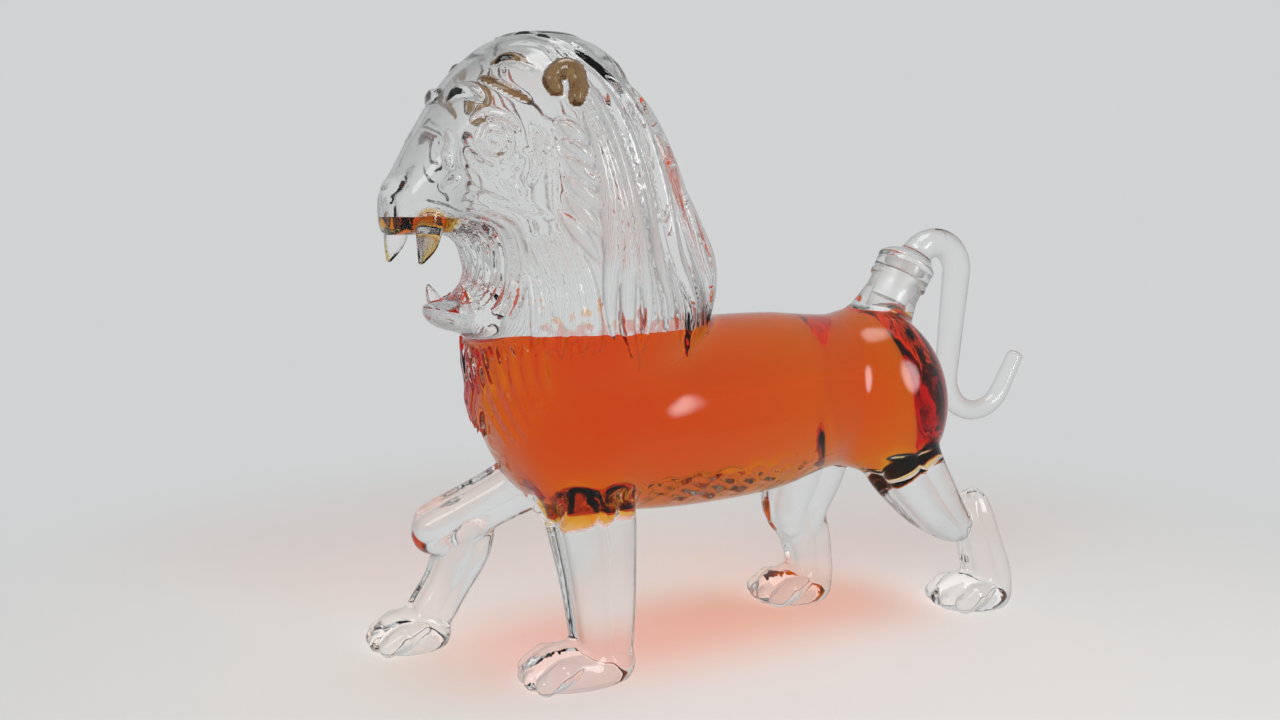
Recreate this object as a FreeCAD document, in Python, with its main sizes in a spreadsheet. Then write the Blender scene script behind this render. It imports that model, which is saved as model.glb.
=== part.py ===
import FreeCAD, Part
import Sketcher

import math
import os

# A walking lion in clear glass, filled with liquor, whose tail is the stopper.
# Millimetres. +Z is up, the paws stand on z = 0, the head is towards -X and the tail towards +X.
# Left is the lion's own left, towards -Y.

SIZES = {
    # Blown shell and filling
    "wall": 2.6,
    "liquor_level": 136,
    "lip_pool_level": 179,
    # Torso: the chest, shoulder, belly, flank, waist and rump rings
    "chest_x": -92,
    "chest_lean": 22,
    "chest_reach": 22,
    "shoulder_x": -62,
    "shoulder_z": 98.5,
    "shoulder_tall": 79,
    "shoulder_wide": 82,
    "belly_x": -20,
    "belly_z": 98,
    "belly_tall": 79.5,
    "belly_wide": 78,
    "flank_x": 14,
    "flank_z": 99.5,
    "flank_tall": 77,
    "flank_wide": 72,
    "waist_x": 42,
    "waist_z": 102,
    "waist_tall": 68,
    "waist_wide": 66,
    "rump_x": 70,
    "rump_z": 102,
    "rump_tall": 77,
    "rump_wide": 72,
    "rump_reach": 27,
    "rump_drop": 12,
    # Head: the mane's mass, the muzzle, the jaw and what sits on them
    "head_turn": 12,
    "neck_root_z": 98,
    "mane_x": -70,
    "mane_long": 104,
    "mane_wide": 90,
    "mane_z": 158,
    "crown_x": -92,
    "crown_z": 248,
    "muzzle_sunk": 24,
    "muzzle_long": 57.5,
    "muzzle_wide": 64,
    "palate_z": 172.5,
    "brow_z": 240,
    "nose_z": 192,
    "nose_long": 10,
    "nose_wide": 14,
    "nose_tall": 11,
    "mouth_ahead": 9,
    "mouth_z": 161,
    "mouth_gape": 24,
    "jaw_long": 42,
    "jaw_wide": 50,
    "jaw_thick": 15,
    "ear_x": -98,
    "ear_z": 224,
    "ear_long": 10,
    "ear_thick": 12,
    "ear_tall": 17,
    "eye_behind_nose": 33.5,
    "eye_z": 207,
    "eye_diameter": 17,
    "upper_fang_share": 0.453,
    "upper_fang_behind_nose": 8.5,
    "upper_fang_long": 11,
    "upper_fang_base": 9,
    "lower_fang_share": 0.58,
    "lower_fang_behind_tip": 9,
    "lower_fang_long": 7,
    "lower_fang_base": 6,
    "fang_point": 1.6,
    "lock_count": 8,
    "lock_pitch": 14,
    "lock_diameter": 8.4,
    "lock_tip_z": 128,
    "lock_stagger": 9,
    # Legs and paws
    "front_left_x": -76,
    "front_right_x": -130,
    "front_left_stance": 29,
    "front_right_stance": 34,
    "hind_left_x": 122,
    "hind_right_x": 50,
    "hind_stance": 21,
    "shoulder_rod": 38,
    "front_left_ankle": 27,
    "raised_arm_rod": 25,
    "raised_knee_x": -121,
    "raised_knee_z": 51,
    "raised_shin_rod": 25,
    "raised_ankle": 21,
    "thigh_rod": 37,
    "hind_knee_z": 42,
    "hind_left_knee_x": 97,
    "hind_left_knee": 20,
    "hock_top_z": 53,
    "hock_rod": 18,
    "hind_ankle": 24,
    "hind_right_knee_x": 41,
    "hind_right_knee": 33,
    "front_paw_long": 46,
    "raised_paw_long": 33,
    "hind_paw_long": 38,
    "paw_wide": 28,
    "paw_tall": 16,
    "toe_diameter": 10.5,
    # Filling neck, stopper and tail
    "neck_x": 75,
    "neck_z": 138,
    "neck_lean": 29.5,
    "neck_rise": 15.5,
    "neck_sunk": 12,
    "neck_flare": 4,
    "neck_wall": 2.6,
    "rim_bead": 1.2,
    "rim_tall": 3,
    "taper_large": 18.8,
    "taper_rate": 0.1,
    "ground_long": 13,
    "ground_play": 0.04,
    "plug_above": 6,
    "collar_diameter": 26,
    "collar_tall": 8,
    "collar_dome": 5,
    "collar_gap": 0.4,
    "tail_root_diameter": 14,
    "tail_tip_diameter": 7.5,
    "tail_start_x": 91.5,
    "tail_top_radius": 13,
    "tail_top_x": 102,
    "tail_top_z": 167,
    "tail_run": 47,
    "tail_run_lean": 4.9,
    "tail_hook_radius": 17.5,
    "tail_hook_turn": 157,
    "tail_end": 17,
}

VECTOR = FreeCAD.Vector
UP = VECTOR(0, 0, 1)
ACROSS = VECTOR(0, 1, 0)
AHEAD = VECTOR(-1, 0, 0)
OVAL_POINTS = 8
DOME_STEPS = (0.45, 0.75, 0.93)
FULL_LIP = 1.13
FAR = 400

doc = FreeCAD.newDocument("LionDecanter")
sheet = doc.addObject("Spreadsheet::Sheet", "Sizes")
for row, (alias, value) in enumerate(SIZES.items(), start=1):
    sheet.set(f"A{row}", alias)
    sheet.set(f"B{row}", str(value))
    sheet.setAlias(f"B{row}", alias)
doc.recompute()
nodes = []


def size(alias):
    """The value of a named size."""
    return float(sheet.get(alias))


def between(low, high, share):
    """The value that lies a share of the way from low to high."""
    return low + (high - low) * share


def node(made):
    """Keeps an object as a sub-part under its own name."""
    made.Label = made.Name
    nodes.append(made)
    return made


def feature(name, shape, placement=FreeCAD.Placement()):
    """An object with a given shape and place."""
    made = doc.addObject("Part::Feature", name)
    made.Shape = shape
    made.Placement = placement
    return made


def cut(name, base, *tools):
    """The base with each tool taken off it in turn."""
    for number, tool in enumerate(tools, start=1):
        made = doc.addObject("Part::Cut", name if number == len(tools) else f"{name}_less_{number}")
        made.Base = base
        made.Tool = tool
        base = made
    return made


def fuse(name, *shapes):
    """Several objects melted into one."""
    made = doc.addObject("Part::MultiFuse", name)
    made.Shapes = list(shapes)
    return made


def common(name, base, tool):
    """What two objects share."""
    made = doc.addObject("Part::Common", name)
    made.Base = base
    made.Tool = tool
    return made


def primitive(kind, name, placement, **expressions):
    """A Part primitive with each size bound to the sheet."""
    made = doc.addObject(kind, name)
    for size_name, expression in expressions.items():
        made.setExpression(size_name, expression)
    made.Placement = placement
    return made


def ellipsoid(name, place, long, wide, tall):
    """An ellipsoid with its long side along X, from three size expressions."""
    return primitive("Part::Ellipsoid", name, place,
                     Radius1=f"({tall}) / 2", Radius2=f"({long}) / 2", Radius3=f"({wide}) / 2")


def at(x, y, z):
    """A place without any turn."""
    return FreeCAD.Placement(VECTOR(x, y, z), FreeCAD.Rotation())


def oval(centre, across, up, wide, tall, fullness=1):
    """A smooth closed ring with the given width and height. Fullness pushes its four corners out."""
    points = []
    for step in range(OVAL_POINTS):
        angle = 2 * math.pi * step / OVAL_POINTS
        reach = fullness if step % 2 else 1
        point = across * (wide / 2 * math.cos(angle)) + up * (tall / 2 * math.sin(angle))
        points.append(centre + point * reach)
    curve = Part.BSplineCurve()
    curve.interpolate(Points=points, PeriodicFlag=True)
    return Part.Wire(curve.toShape())


def dome(centre, across, up, wide, tall, reach):
    """Rings that shrink along reach, from a full ring's edge to a rounded end."""
    return [oval(centre + reach * step, across, up,
                 wide * math.sqrt(1 - step * step), tall * math.sqrt(1 - step * step))
            for step in DOME_STEPS]


def blown(rings):
    """A solid blown smoothly through rings."""
    return Part.makeLoft(rings, True, False)


def rod(stations):
    """A solid rod through (point, wide, deep) stations, each ring square to the rod's run."""
    rings = []
    last = len(stations) - 1
    for number, (point, wide, deep) in enumerate(stations):
        run = stations[min(number + 1, last)][0] - stations[max(number - 1, 0)][0]
        run.normalize()
        fore = ACROSS.cross(run)
        fore.normalize()
        rings.append(oval(point, fore, run.cross(fore), wide, deep))
    return blown(rings)


def turned_body(name, profile, place):
    """A body turned about its own Z axis from (radius, height) corners, each a size expression."""
    body = doc.addObject("PartDesign::Body", name)
    plane = next(item for item in body.Origin.OriginFeatures if item.Role == "XZ_Plane")
    sketch = body.newObject("Sketcher::SketchObject", f"{name}_profile")
    sketch.AttachmentSupport = (plane, [""])
    sketch.MapMode = "FlatFace"
    corners = [VECTOR(float(sheet.evalExpression(radius)), float(sheet.evalExpression(height)), 0)
               for radius, height in profile]
    count = len(corners)
    for number in range(count):
        sketch.addGeometry(Part.LineSegment(corners[number], corners[(number + 1) % count]), False)
    for number in range(count):
        sketch.addConstraint(Sketcher.Constraint("Coincident", number, 2, (number + 1) % count, 1))
    for number, (radius, height) in enumerate(profile):
        if radius == "0":
            sketch.addConstraint(Sketcher.Constraint("PointOnObject", number, 1, -2))
        else:
            across = Sketcher.Constraint("DistanceX", -1, 1, number, 1, corners[number].x)
            sketch.setExpression(f"Constraints[{sketch.addConstraint(across)}]", radius)
        along = Sketcher.Constraint("DistanceY", -1, 1, number, 1, corners[number].y)
        sketch.setExpression(f"Constraints[{sketch.addConstraint(along)}]", height)
    revolution = body.newObject("PartDesign::Revolution", f"{name}_turned")
    revolution.Profile = sketch
    revolution.ReferenceAxis = (sketch, ["V_Axis"])
    revolution.Angle = 360
    body.Placement = place
    doc.recompute()
    return body


def rounded(body, height, radius):
    """Rounds the body's outer edge at one height along its own axis."""
    tip = body.Tip
    rings = []
    for number, edge in enumerate(tip.Shape.Edges, start=1):
        box = edge.BoundBox
        if abs(box.ZMin - height) < 1e-4 and abs(box.ZMax - height) < 1e-4:
            rings.append((box.DiagonalLength, f"Edge{number}"))
    fillet = body.newObject("PartDesign::Fillet", f"{body.Name}_rounded")
    fillet.Base = (tip, [max(rings)[1]])
    fillet.setExpression("Radius", radius)
    body.Tip = fillet
    doc.recompute()
    return body


# Torso

def torso_solid(inset):
    """The torso's form, drawn in by inset all round."""
    def ring(name, lean=0):
        tilt = math.radians(lean)
        up = VECTOR(-math.sin(tilt), 0, math.cos(tilt))
        centre = VECTOR(size(f"{name}_x"), 0, size(f"{name}_z"))
        return centre, ACROSS, up, size(f"{name}_wide") - 2 * inset, size(f"{name}_tall") - 2 * inset

    shoulder, across, up, wide, tall = ring("shoulder", size("chest_lean"))
    chest = (VECTOR(size("chest_x"), 0, shoulder.z), across, up, 0.93 * wide, 0.98 * tall)
    rump = ring("rump")
    ahead = up.cross(ACROSS) * (size("chest_reach") - inset)
    behind = VECTOR(size("rump_reach") - inset, 0, -size("rump_drop"))
    rings = list(reversed(dome(*chest, ahead)))
    rings.append(oval(*chest))
    for name, lean in (("shoulder", 6), ("belly", 0), ("flank", 0), ("waist", 0)):
        rings.append(oval(*ring(name, lean)))
    rings.append(oval(*rump))
    rings.extend(dome(*rump, behind))
    return blown(rings)


torso_outer = feature("torso_outer", torso_solid(0))
torso_inner = feature("torso_inner", torso_solid(size("wall")))

# Head

MANE_FRONT = size("mane_x") - size("mane_long") / 2
MUZZLE_ROOT = MANE_FRONT + size("muzzle_sunk")
NOSE_X = MUZZLE_ROOT - size("muzzle_long")
JAW_TIP = MUZZLE_ROOT - size("jaw_long")
MOUTH_X = MANE_FRONT - size("mouth_ahead")
HEAD_AXIS = VECTOR(size("mane_x"), 0, 0)
TURN =FreeCAD.Placement(VECTOR(), FreeCAD.Rotation(UP, size("head_turn")), HEAD_AXIS)


def on_head(x, y, z, rotation=FreeCAD.Rotation()):
    """A place on the head, which is turned a little to the lion's left."""
    return TURN.multiply(FreeCAD.Placement(VECTOR(x, y, z), rotation))


def mane_rings():
    """The mane's level rings as (x, z, long, wide), from inside the torso up to the crown."""
    long = size("mane_long")
    wide = size("mane_wide")
    low = size("neck_root_z")
    middle = size("mane_z")
    high = size("crown_z")
    x = size("mane_x")
    crown_x = size("crown_x")
    return [
        (x, low, 0.76 * long, 0.87 * wide),
        (x - 0.5, between(low, middle, 0.36), 0.94 * long, 0.92 * wide),
        (x, between(low, middle, 0.66), long, 0.96 * wide),
        (x + 1.5, middle, 0.97 * long, wide),
        (between(x, crown_x, 0.4), between(middle, high, 0.27), 0.9 * long, wide),
        (between(x, crown_x, 0.75), between(middle, high, 0.5), 0.8 * long, 0.95 * wide),
        (between(x, crown_x, 0.97), between(middle, high, 0.72), 0.7 * long, 0.83 * wide),
        (between(x, crown_x, 1.03), between(middle, high, 0.88), 0.52 * long, 0.64 * wide),
        (crown_x, between(middle, high, 0.965), 0.33 * long, 0.42 * wide),
        (crown_x, high, 0.14 * long, 0.17 * wide),
    ]


def mane_solid(inset):
    """The mane's mass, drawn in by inset; its foot stays open to the torso."""
    rings = []
    top = size("crown_z")
    for x, z, long, wide in mane_rings():
        level = min(z, top - inset)
        rings.append(oval(VECTOR(x, 0, level), AHEAD, ACROSS, long - 2 * inset, wide - 2 * inset))
    return blown(rings)


def muzzle_solid(inset):
    """The face from the brow to the lip, drawn in by inset."""
    palate = size("palate_z")
    brow = size("brow_z")
    nose = size("nose_z")
    rings = []
    for share, top, wide in (
        (0, brow, 1),
        (0.26, between(nose, brow, 0.96), 0.95),
        (0.52, between(nose, brow, 0.76), 0.77),
        (0.7, between(nose, brow, 0.47), 0.64),
        (0.86, between(nose, brow, 0.16), 0.52),
        (0.96, between(palate, nose, 0.97), 0.39),
        (1, between(palate, nose, 0.8), 0.27),
    ):
        x = between(MUZZLE_ROOT, NOSE_X, share)
        x += inset if share == 1 else 0
        middle = VECTOR(x, 0, (top + palate) / 2)
        rings.append(oval(middle, ACROSS, UP, wide * size("muzzle_wide") - 2 * inset,
                          top - palate - 2 * inset, FULL_LIP))
    return blown(rings)


def jaw_solid():
    """The lower jaw, a flat drop that narrows to the chin."""
    top = size("mouth_z") - size("mouth_gape") / 2
    thick = size("jaw_thick")
    rings = []
    for share, drop, tall, wide in (
        (0, 0.4, 1.5, 1),
        (0.45, 0.36, 1.2, 0.88),
        (0.75, 0.42, 0.84, 0.68),
        (0.93, 0.32, 0.5, 0.44),
        (1, 0.28, 0.26, 0.22),
    ):
        centre = VECTOR(between(MUZZLE_ROOT, JAW_TIP, share), 0, top - drop * thick)
        rings.append(oval(centre, ACROSS, UP, wide * size("jaw_wide"), tall * thick, FULL_LIP))
    return blown(rings)


def mouth_bore(name, extra):
    """The round hollow of the open mouth, which runs from side to side."""
    sideways = FreeCAD.Rotation(UP, ACROSS)
    place = on_head(MOUTH_X, -size("mane_wide"), size("mouth_z"), sideways)
    return primitive("Part::Cylinder", name, place,
                     Radius=f"Sizes.mouth_gape / 2 + {extra}", Height="2 * Sizes.mane_wide")


mane_outer = feature("mane_outer", mane_solid(0), TURN)
mane_inner = feature("mane_inner", mane_solid(size("wall")), TURN)
muzzle_outer = feature("muzzle_outer", muzzle_solid(0), TURN)
muzzle_inner = feature("muzzle_inner", muzzle_solid(size("wall")), TURN)
head_outer = cut("head_outer", fuse("head_melt", mane_outer, muzzle_outer), mouth_bore("mouth", "0"))
mouth_back = mouth_bore("mouth_back", "Sizes.wall")
head_inner = cut("head_inner", fuse("head_hollow", mane_inner, muzzle_inner), mouth_back)
node(cut("head_shell", head_outer, head_inner, torso_outer))
jaw_drop = feature("jaw_drop", jaw_solid(), TURN)
node(cut("lower_jaw", jaw_drop, head_outer, torso_outer))

nose_place = on_head(NOSE_X + 0.15 * size("nose_long"), 0, size("nose_z") - 0.35 * size("nose_tall"))
nose_drop = ellipsoid("nose_drop", nose_place, "Sizes.nose_long", "Sizes.nose_wide", "Sizes.nose_tall")
node(cut("nose_tip", nose_drop, head_outer))


def head_half_width(x, z):
    """How far out the head's own surface lies at one place, before its turn."""
    ray = Part.makeLine(VECTOR(x, 0, z), VECTOR(x, size("mane_wide"), z))
    reach = 0
    for solid in (mane_outer, muzzle_outer):
        still = solid.Shape.copy()
        still.Placement = FreeCAD.Placement()
        for edge in still.common(ray).Edges:
            reach = max(reach, edge.BoundBox.YMax)
    return reach


eye_x = NOSE_X + size("eye_behind_nose")
for side, sign in (("left", -1), ("right", 1)):
    ear_y = sign * (head_half_width(size("ear_x"), size("ear_z")) + 0.1 * size("ear_thick"))
    ear_drop = ellipsoid(f"ear_drop_{side}", on_head(size("ear_x"), ear_y, size("ear_z")),
                         "Sizes.ear_long", "Sizes.ear_thick", "Sizes.ear_tall")
    node(cut(f"ear_{side}", ear_drop, head_outer))
    eye_y = sign * (head_half_width(eye_x, size("eye_z")) - 0.32 * size("eye_diameter"))
    eye_place = on_head(eye_x, eye_y, size("eye_z"), FreeCAD.Rotation(UP, ACROSS))
    eye_drop = primitive("Part::Sphere", f"eye_drop_{side}", eye_place, Radius="Sizes.eye_diameter / 2")
    node(cut(f"eye_{side}", eye_drop, head_outer))


def fang(name, jaw, place, *bed):
    """A drawn glass point whose base is set into the jaw that carries it."""
    base = f"Sizes.{jaw}_fang_base"
    long = f"Sizes.{jaw}_fang_long"
    profile = [("0", f"-{base} / 2"), (f"{base} * 0.4", f"-{base} / 2"), (f"{base} / 2", "0"),
               ("Sizes.fang_point / 2", long), ("0", long)]
    return node(cut(name, turned_body(f"{name}_point", profile, place), *bed))


POINT_DOWN = FreeCAD.Rotation(VECTOR(1, 0, 0), 180)
jaw_top = size("mouth_z") - size("mouth_gape") / 2 - 0.2 * size("jaw_thick")
for side, sign in (("left", -1), ("right", 1)):
    upper_y = sign * size("upper_fang_share") * size("muzzle_wide") / 2
    upper_x = NOSE_X + size("upper_fang_behind_nose")
    upper = on_head(upper_x, upper_y, size("palate_z") + 2, POINT_DOWN)
    fang(f"upper_fang_{side}", "upper", upper, head_outer)
    lower_y = sign * size("lower_fang_share") * size("jaw_wide") / 2
    lower = on_head(JAW_TIP + size("lower_fang_behind_tip"), lower_y, jaw_top)
    fang(f"lower_fang_{side}", "lower", lower, jaw_drop)


# Mane locks

LOCK_STEPS = 8
LOCK_TOP = 0.93
CHEEK_LOCK = 6


def ring_points(solid, level):
    """Points round the mane's surface at one level, each with its angle from the back."""
    wire = solid.slice(UP, level)[0]
    middle = wire.BoundBox.Center
    return [(math.atan2(point.y - middle.y, point.x - middle.x), point) for point in wire.discretize(361)]


def on_ring(points, angle):
    """The point of a ring that lies nearest to an angle."""
    return min(points, key=lambda item: abs(item[0] - angle))[1]


def lock_solid(solid, angle, top_z, tip_z):
    """A rope of drawn glass laid down the mane at one angle from the back, thin at both ends."""
    pitch = math.radians(size("lock_pitch"))
    stations = []
    for step in range(LOCK_STEPS):
        share = step / (LOCK_STEPS - 1)
        points = ring_points(solid, between(top_z, tip_z, share))
        here = on_ring(points, angle)
        beside = (on_ring(points, angle + pitch / 2) - on_ring(points, angle - pitch / 2)).Length
        swell = math.sin(math.pi * between(0.12, 0.93, share)) ** 0.6
        wide = min(size("lock_diameter"), 0.86 * beside) * swell
        stations.append((here, wide, wide))
    return rod(stations)


still_mane = mane_solid(0)
crown_start = between(size("mane_z"), size("crown_z"), LOCK_TOP)
cheek_start = size("ear_z") - 0.8 * size("ear_tall")
for number in range(-int(size("lock_count")), int(size("lock_count")) + 1):
    angle = math.radians(number * size("lock_pitch"))
    start_z = cheek_start if abs(number) > CHEEK_LOCK else crown_start
    tip_z = size("lock_tip_z") + size("lock_stagger") * (abs(number) % 3)
    side = "back" if number == 0 else f"{'left' if number < 0 else 'right'}_{abs(number)}"
    rope = feature(f"lock_rope_{side}", lock_solid(still_mane, angle, start_z, tip_z), TURN)
    node(cut(f"mane_lock_{side}", rope, head_outer, torso_outer))

# Legs and paws


def slab(name, height):
    """A wide level slab that stands on the ground, as high as a size expression."""
    return primitive("Part::Box", name, at(-FAR, -FAR, 0),
                     Length=f"{2 * FAR}", Width=f"{2 * FAR}", Height=height)


above_ground = slab("above_ground", f"{FAR}")


def paw(name, long, x, y):
    """A pad with four toes, flat where it stands. x and y are under the ankle."""
    middle_z = 0.3 * size("paw_tall")
    toe = size("toe_diameter")
    pad_place = at(x - 0.22 * size(long), y, middle_z)
    parts = [ellipsoid(f"{name}_pad", pad_place, f"Sizes.{long}", "Sizes.paw_wide", "1.4 * Sizes.paw_tall")]
    for number in range(4):
        off = number - 1.5
        toe_place = at(x - 0.62 * size(long) + 0.3 * toe * abs(off), y + 0.68 * toe * off, middle_z)
        parts.append(ellipsoid(f"{name}_toe_{number + 1}", toe_place, "1.6 * Sizes.toe_diameter",
                               "0.9 * Sizes.toe_diameter", "Sizes.toe_diameter"))
    return node(common(name, fuse(f"{name}_melt", *parts), above_ground))


def leg(name, stations, *bed):
    """A drawn rod of a leg, cut to sit on what carries it."""
    rods = [(VECTOR(point), wide, deep) for point, wide, deep in stations]
    return node(cut(name, feature(f"{name}_rod", rod(rods)), *bed))


near_y = size("front_left_stance")
far_y = size("front_right_stance")
hind_y = size("hind_stance")
ankle_z = 0.75 * size("paw_tall")
front_left_paw = paw("front_left_paw", "front_paw_long", size("front_left_x"), -near_y)
front_right_paw = paw("front_right_paw", "raised_paw_long", size("front_right_x"), far_y)
hind_left_paw = paw("hind_left_paw", "hind_paw_long", size("hind_left_x"), -hind_y)
hind_right_paw = paw("hind_right_paw", "hind_paw_long", size("hind_right_x"), hind_y)

full = size("shoulder_rod")
ankle = size("front_left_ankle")
stand_x = size("front_left_x")
joint_z = size("shoulder_z")
leg("front_left_leg", [
    ((stand_x - 0.13 * full, -0.55 * near_y, joint_z), full, 0.8 * full),
    ((stand_x - 0.1 * full, -0.9 * near_y, 0.72 * joint_z), full, 0.8 * full),
    ((stand_x - 0.03 * full, -near_y, 0.42 * joint_z), between(ankle, full, 0.5), 0.95 * ankle),
    ((stand_x, -near_y, ankle_z), ankle, 0.9 * ankle),
    ((stand_x, -near_y, 0.35 * ankle_z), 0.9 * ankle, 0.8 * ankle),
], torso_outer, front_left_paw)

arm = size("raised_arm_rod")
knee = VECTOR(size("raised_knee_x"), 0.95 * far_y, size("raised_knee_z"))
armpit = VECTOR(size("shoulder_x") - 0.3 * arm, 0.55 * far_y, 0.8 * joint_z)
along_arm = (knee - armpit).normalize()
arm_stations = [(armpit + (knee - armpit) * share, thick * arm, thick * arm)
                for share, thick in ((0, 1.15), (0.33, 1.05), (0.66, 0.97), (1, 1.02))]
for share, thick in ((0.24, 0.84), (0.38, 0.5)):
    arm_stations.append((knee + along_arm * (share * arm), thick * arm, thick * arm))
raised_arm = leg("front_right_upper_leg", arm_stations, torso_outer)
shin = size("raised_shin_rod")
wrist = size("raised_ankle")
wrist_x = size("front_right_x")
leg("front_right_lower_leg", [
    (knee + VECTOR(0.45 * shin, 0, -0.05 * shin), 0.8 * shin, 0.8 * shin),
    (knee + VECTOR(0.3 * shin, 0, -0.4 * shin), shin, shin),
    (VECTOR(wrist_x + 0.25 * shin, far_y, 1.9 * ankle_z), wrist, wrist),
    (VECTOR(wrist_x, far_y, ankle_z), wrist, wrist),
    (VECTOR(wrist_x - 0.1 * shin, far_y, 0.4 * ankle_z), 0.7 * wrist, 0.7 * wrist),
], raised_arm, front_right_paw, torso_outer)

thigh = size("thigh_rod")
hock = size("hock_rod")
knee_z = size("hind_knee_z")
hip_x = size("rump_x")
hip_z = size("rump_z")
thin = size("hind_left_knee")
knee_x = size("hind_left_knee_x")
hind_left_thigh = leg("hind_left_thigh", [
    ((hip_x - 0.1 * thigh, -0.8 * hind_y, hip_z), 1.1 * thigh, 0.9 * thigh),
    ((hip_x, -0.95 * hind_y, between(knee_z, hip_z, 0.55)), thigh, 0.9 * thigh),
    ((between(hip_x, knee_x, 0.55), -hind_y, between(knee_z, hip_z, 0.2)),
     between(thin, thigh, 0.55), between(thin, thigh, 0.5)),
    ((knee_x, -0.95 * hind_y, knee_z), thin, thin),
    ((knee_x + 0.3 * thin, -0.95 * hind_y, knee_z - 0.25 * thin), 0.8 * thin, 0.8 * thin),
], torso_outer)
heel_x = size("hind_left_x")
hock_top = size("hock_top_z")
heel = size("hind_ankle")
leg("hind_left_hock", [
    ((heel_x - 0.56 * hock, -0.95 * hind_y, hock_top), 0.45 * hock, 0.45 * hock),
    ((heel_x - 0.53 * hock, -0.95 * hind_y, hock_top - 0.3 * hock), hock, hock),
    ((heel_x - 0.28 * hock, -hind_y, between(ankle_z, hock_top, 0.45)), 1.15 * hock, 1.1 * hock),
    ((heel_x, -hind_y, ankle_z), heel, 0.9 * heel),
    ((heel_x, -hind_y, 0.35 * ankle_z), 0.8 * heel, 0.75 * heel),
], hind_left_thigh, hind_left_paw)

bent = size("hind_right_knee")
bent_x = size("hind_right_knee_x")
far_hip_x = size("waist_x") + 0.15 * thigh
far_heel_x = size("hind_right_x")
hind_right_thigh = leg("hind_right_thigh", [
    ((far_hip_x, 0.7 * hind_y, size("waist_z")), thigh, 0.9 * thigh),
    ((far_hip_x, 0.9 * hind_y, between(knee_z, size("waist_z"), 0.4)), thigh, 0.9 * thigh),
    ((bent_x, 0.97 * hind_y, knee_z + 0.09 * bent), bent, 0.9 * bent),
    ((bent_x + 0.06 * bent, hind_y, knee_z - 0.24 * bent), 0.85 * bent, 0.8 * bent),
], torso_outer)
leg("hind_right_hock", [
    ((far_heel_x - 0.15 * bent, hind_y, knee_z), 0.8 * bent, 0.75 * bent),
    ((far_heel_x - 0.06 * bent, hind_y, knee_z - 0.3 * bent), 0.85 * bent, 0.8 * bent),
    ((far_heel_x, hind_y, 1.7 * ankle_z), heel, 0.9 * heel),
    ((far_heel_x, hind_y, ankle_z), 1.05 * heel, 0.95 * heel),
    ((far_heel_x, hind_y, 0.35 * ankle_z), 0.8 * heel, 0.75 * heel),
], hind_right_thigh, hind_right_paw, torso_outer)

# Filling neck and stopper. Their own Z axis is the neck's axis, with 0 at the rim.

LEAN = FreeCAD.Rotation(ACROSS, size("neck_lean"))
NECK_AXIS = LEAN.multVec(UP)
RIM = VECTOR(size("neck_x"), 0, size("neck_z")) + NECK_AXIS * size("neck_rise")
ON_RIM = FreeCAD.Placement(RIM, LEAN)

bore = "(Sizes.taper_large / 2)"
outside = "(Sizes.taper_large / 2 + Sizes.neck_wall)"
root = "(Sizes.neck_rise + Sizes.neck_sunk)"
slope = "(Sizes.taper_rate / 2)"
neck_tube = turned_body("neck_tube", [
    (f"{bore} - {slope} * {root}", f"-{root}"),
    (f"{outside} + Sizes.neck_flare", f"-{root}"),
    (outside, "-Sizes.neck_rise * 0.55"),
    (outside, "-Sizes.rim_tall"),
    (f"{outside} + Sizes.rim_bead", "-Sizes.rim_tall * 0.8"),
    (f"{outside} + Sizes.rim_bead", "-Sizes.rim_tall * 0.2"),
    (outside, "0"),
    (bore, "0"),
], ON_RIM)
node(cut("fill_neck", neck_tube, torso_outer))
fill_way = turned_body("fill_way", [
    ("0", f"-2 * {root}"),
    (f"{bore} - {slope} * {root}", f"-2 * {root}"),
    (f"{bore} - {slope} * {root}", f"-{root}"),
    (bore, "0"),
    ("0", "0"),
], ON_RIM)
node(cut("torso_shell", torso_outer, torso_inner, head_inner, fill_way))

ground = f"({bore} - Sizes.ground_play)"
node(turned_body("stopper_plug", [
    ("0", "-Sizes.ground_long"),
    (f"{ground} - {slope} * Sizes.ground_long", "-Sizes.ground_long"),
    (f"{ground} + {slope} * Sizes.plug_above", "Sizes.plug_above"),
    ("0", "Sizes.plug_above"),
], ON_RIM))
socket = f"({bore} + {slope} * Sizes.plug_above)"
collar = turned_body("stopper_collar", [
    (socket, "Sizes.collar_gap"),
    ("Sizes.collar_diameter / 2", "Sizes.collar_gap"),
    ("Sizes.collar_diameter / 2", "Sizes.collar_tall + Sizes.collar_dome"),
    ("0", "Sizes.collar_tall + Sizes.collar_dome"),
    ("0", "Sizes.plug_above + Sizes.ground_play"),
    (socket, "Sizes.plug_above + Sizes.ground_play"),
], ON_RIM)
node(rounded(collar, size("collar_tall") + size("collar_dome"), "Sizes.collar_dome"))

# Tail: over the top, down a leaning run, round a hook and up to its tip


def arc(centre, radius, start, end):
    """An arc in the lion's middle plane, between two angles in degrees."""
    def point(angle):
        turn = math.radians(angle)
        return centre + VECTOR(radius * math.cos(turn), 0, radius * math.sin(turn))
    return Part.Arc(point(start), point((start + end) / 2), point(end)).toShape(), point(end)


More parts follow.
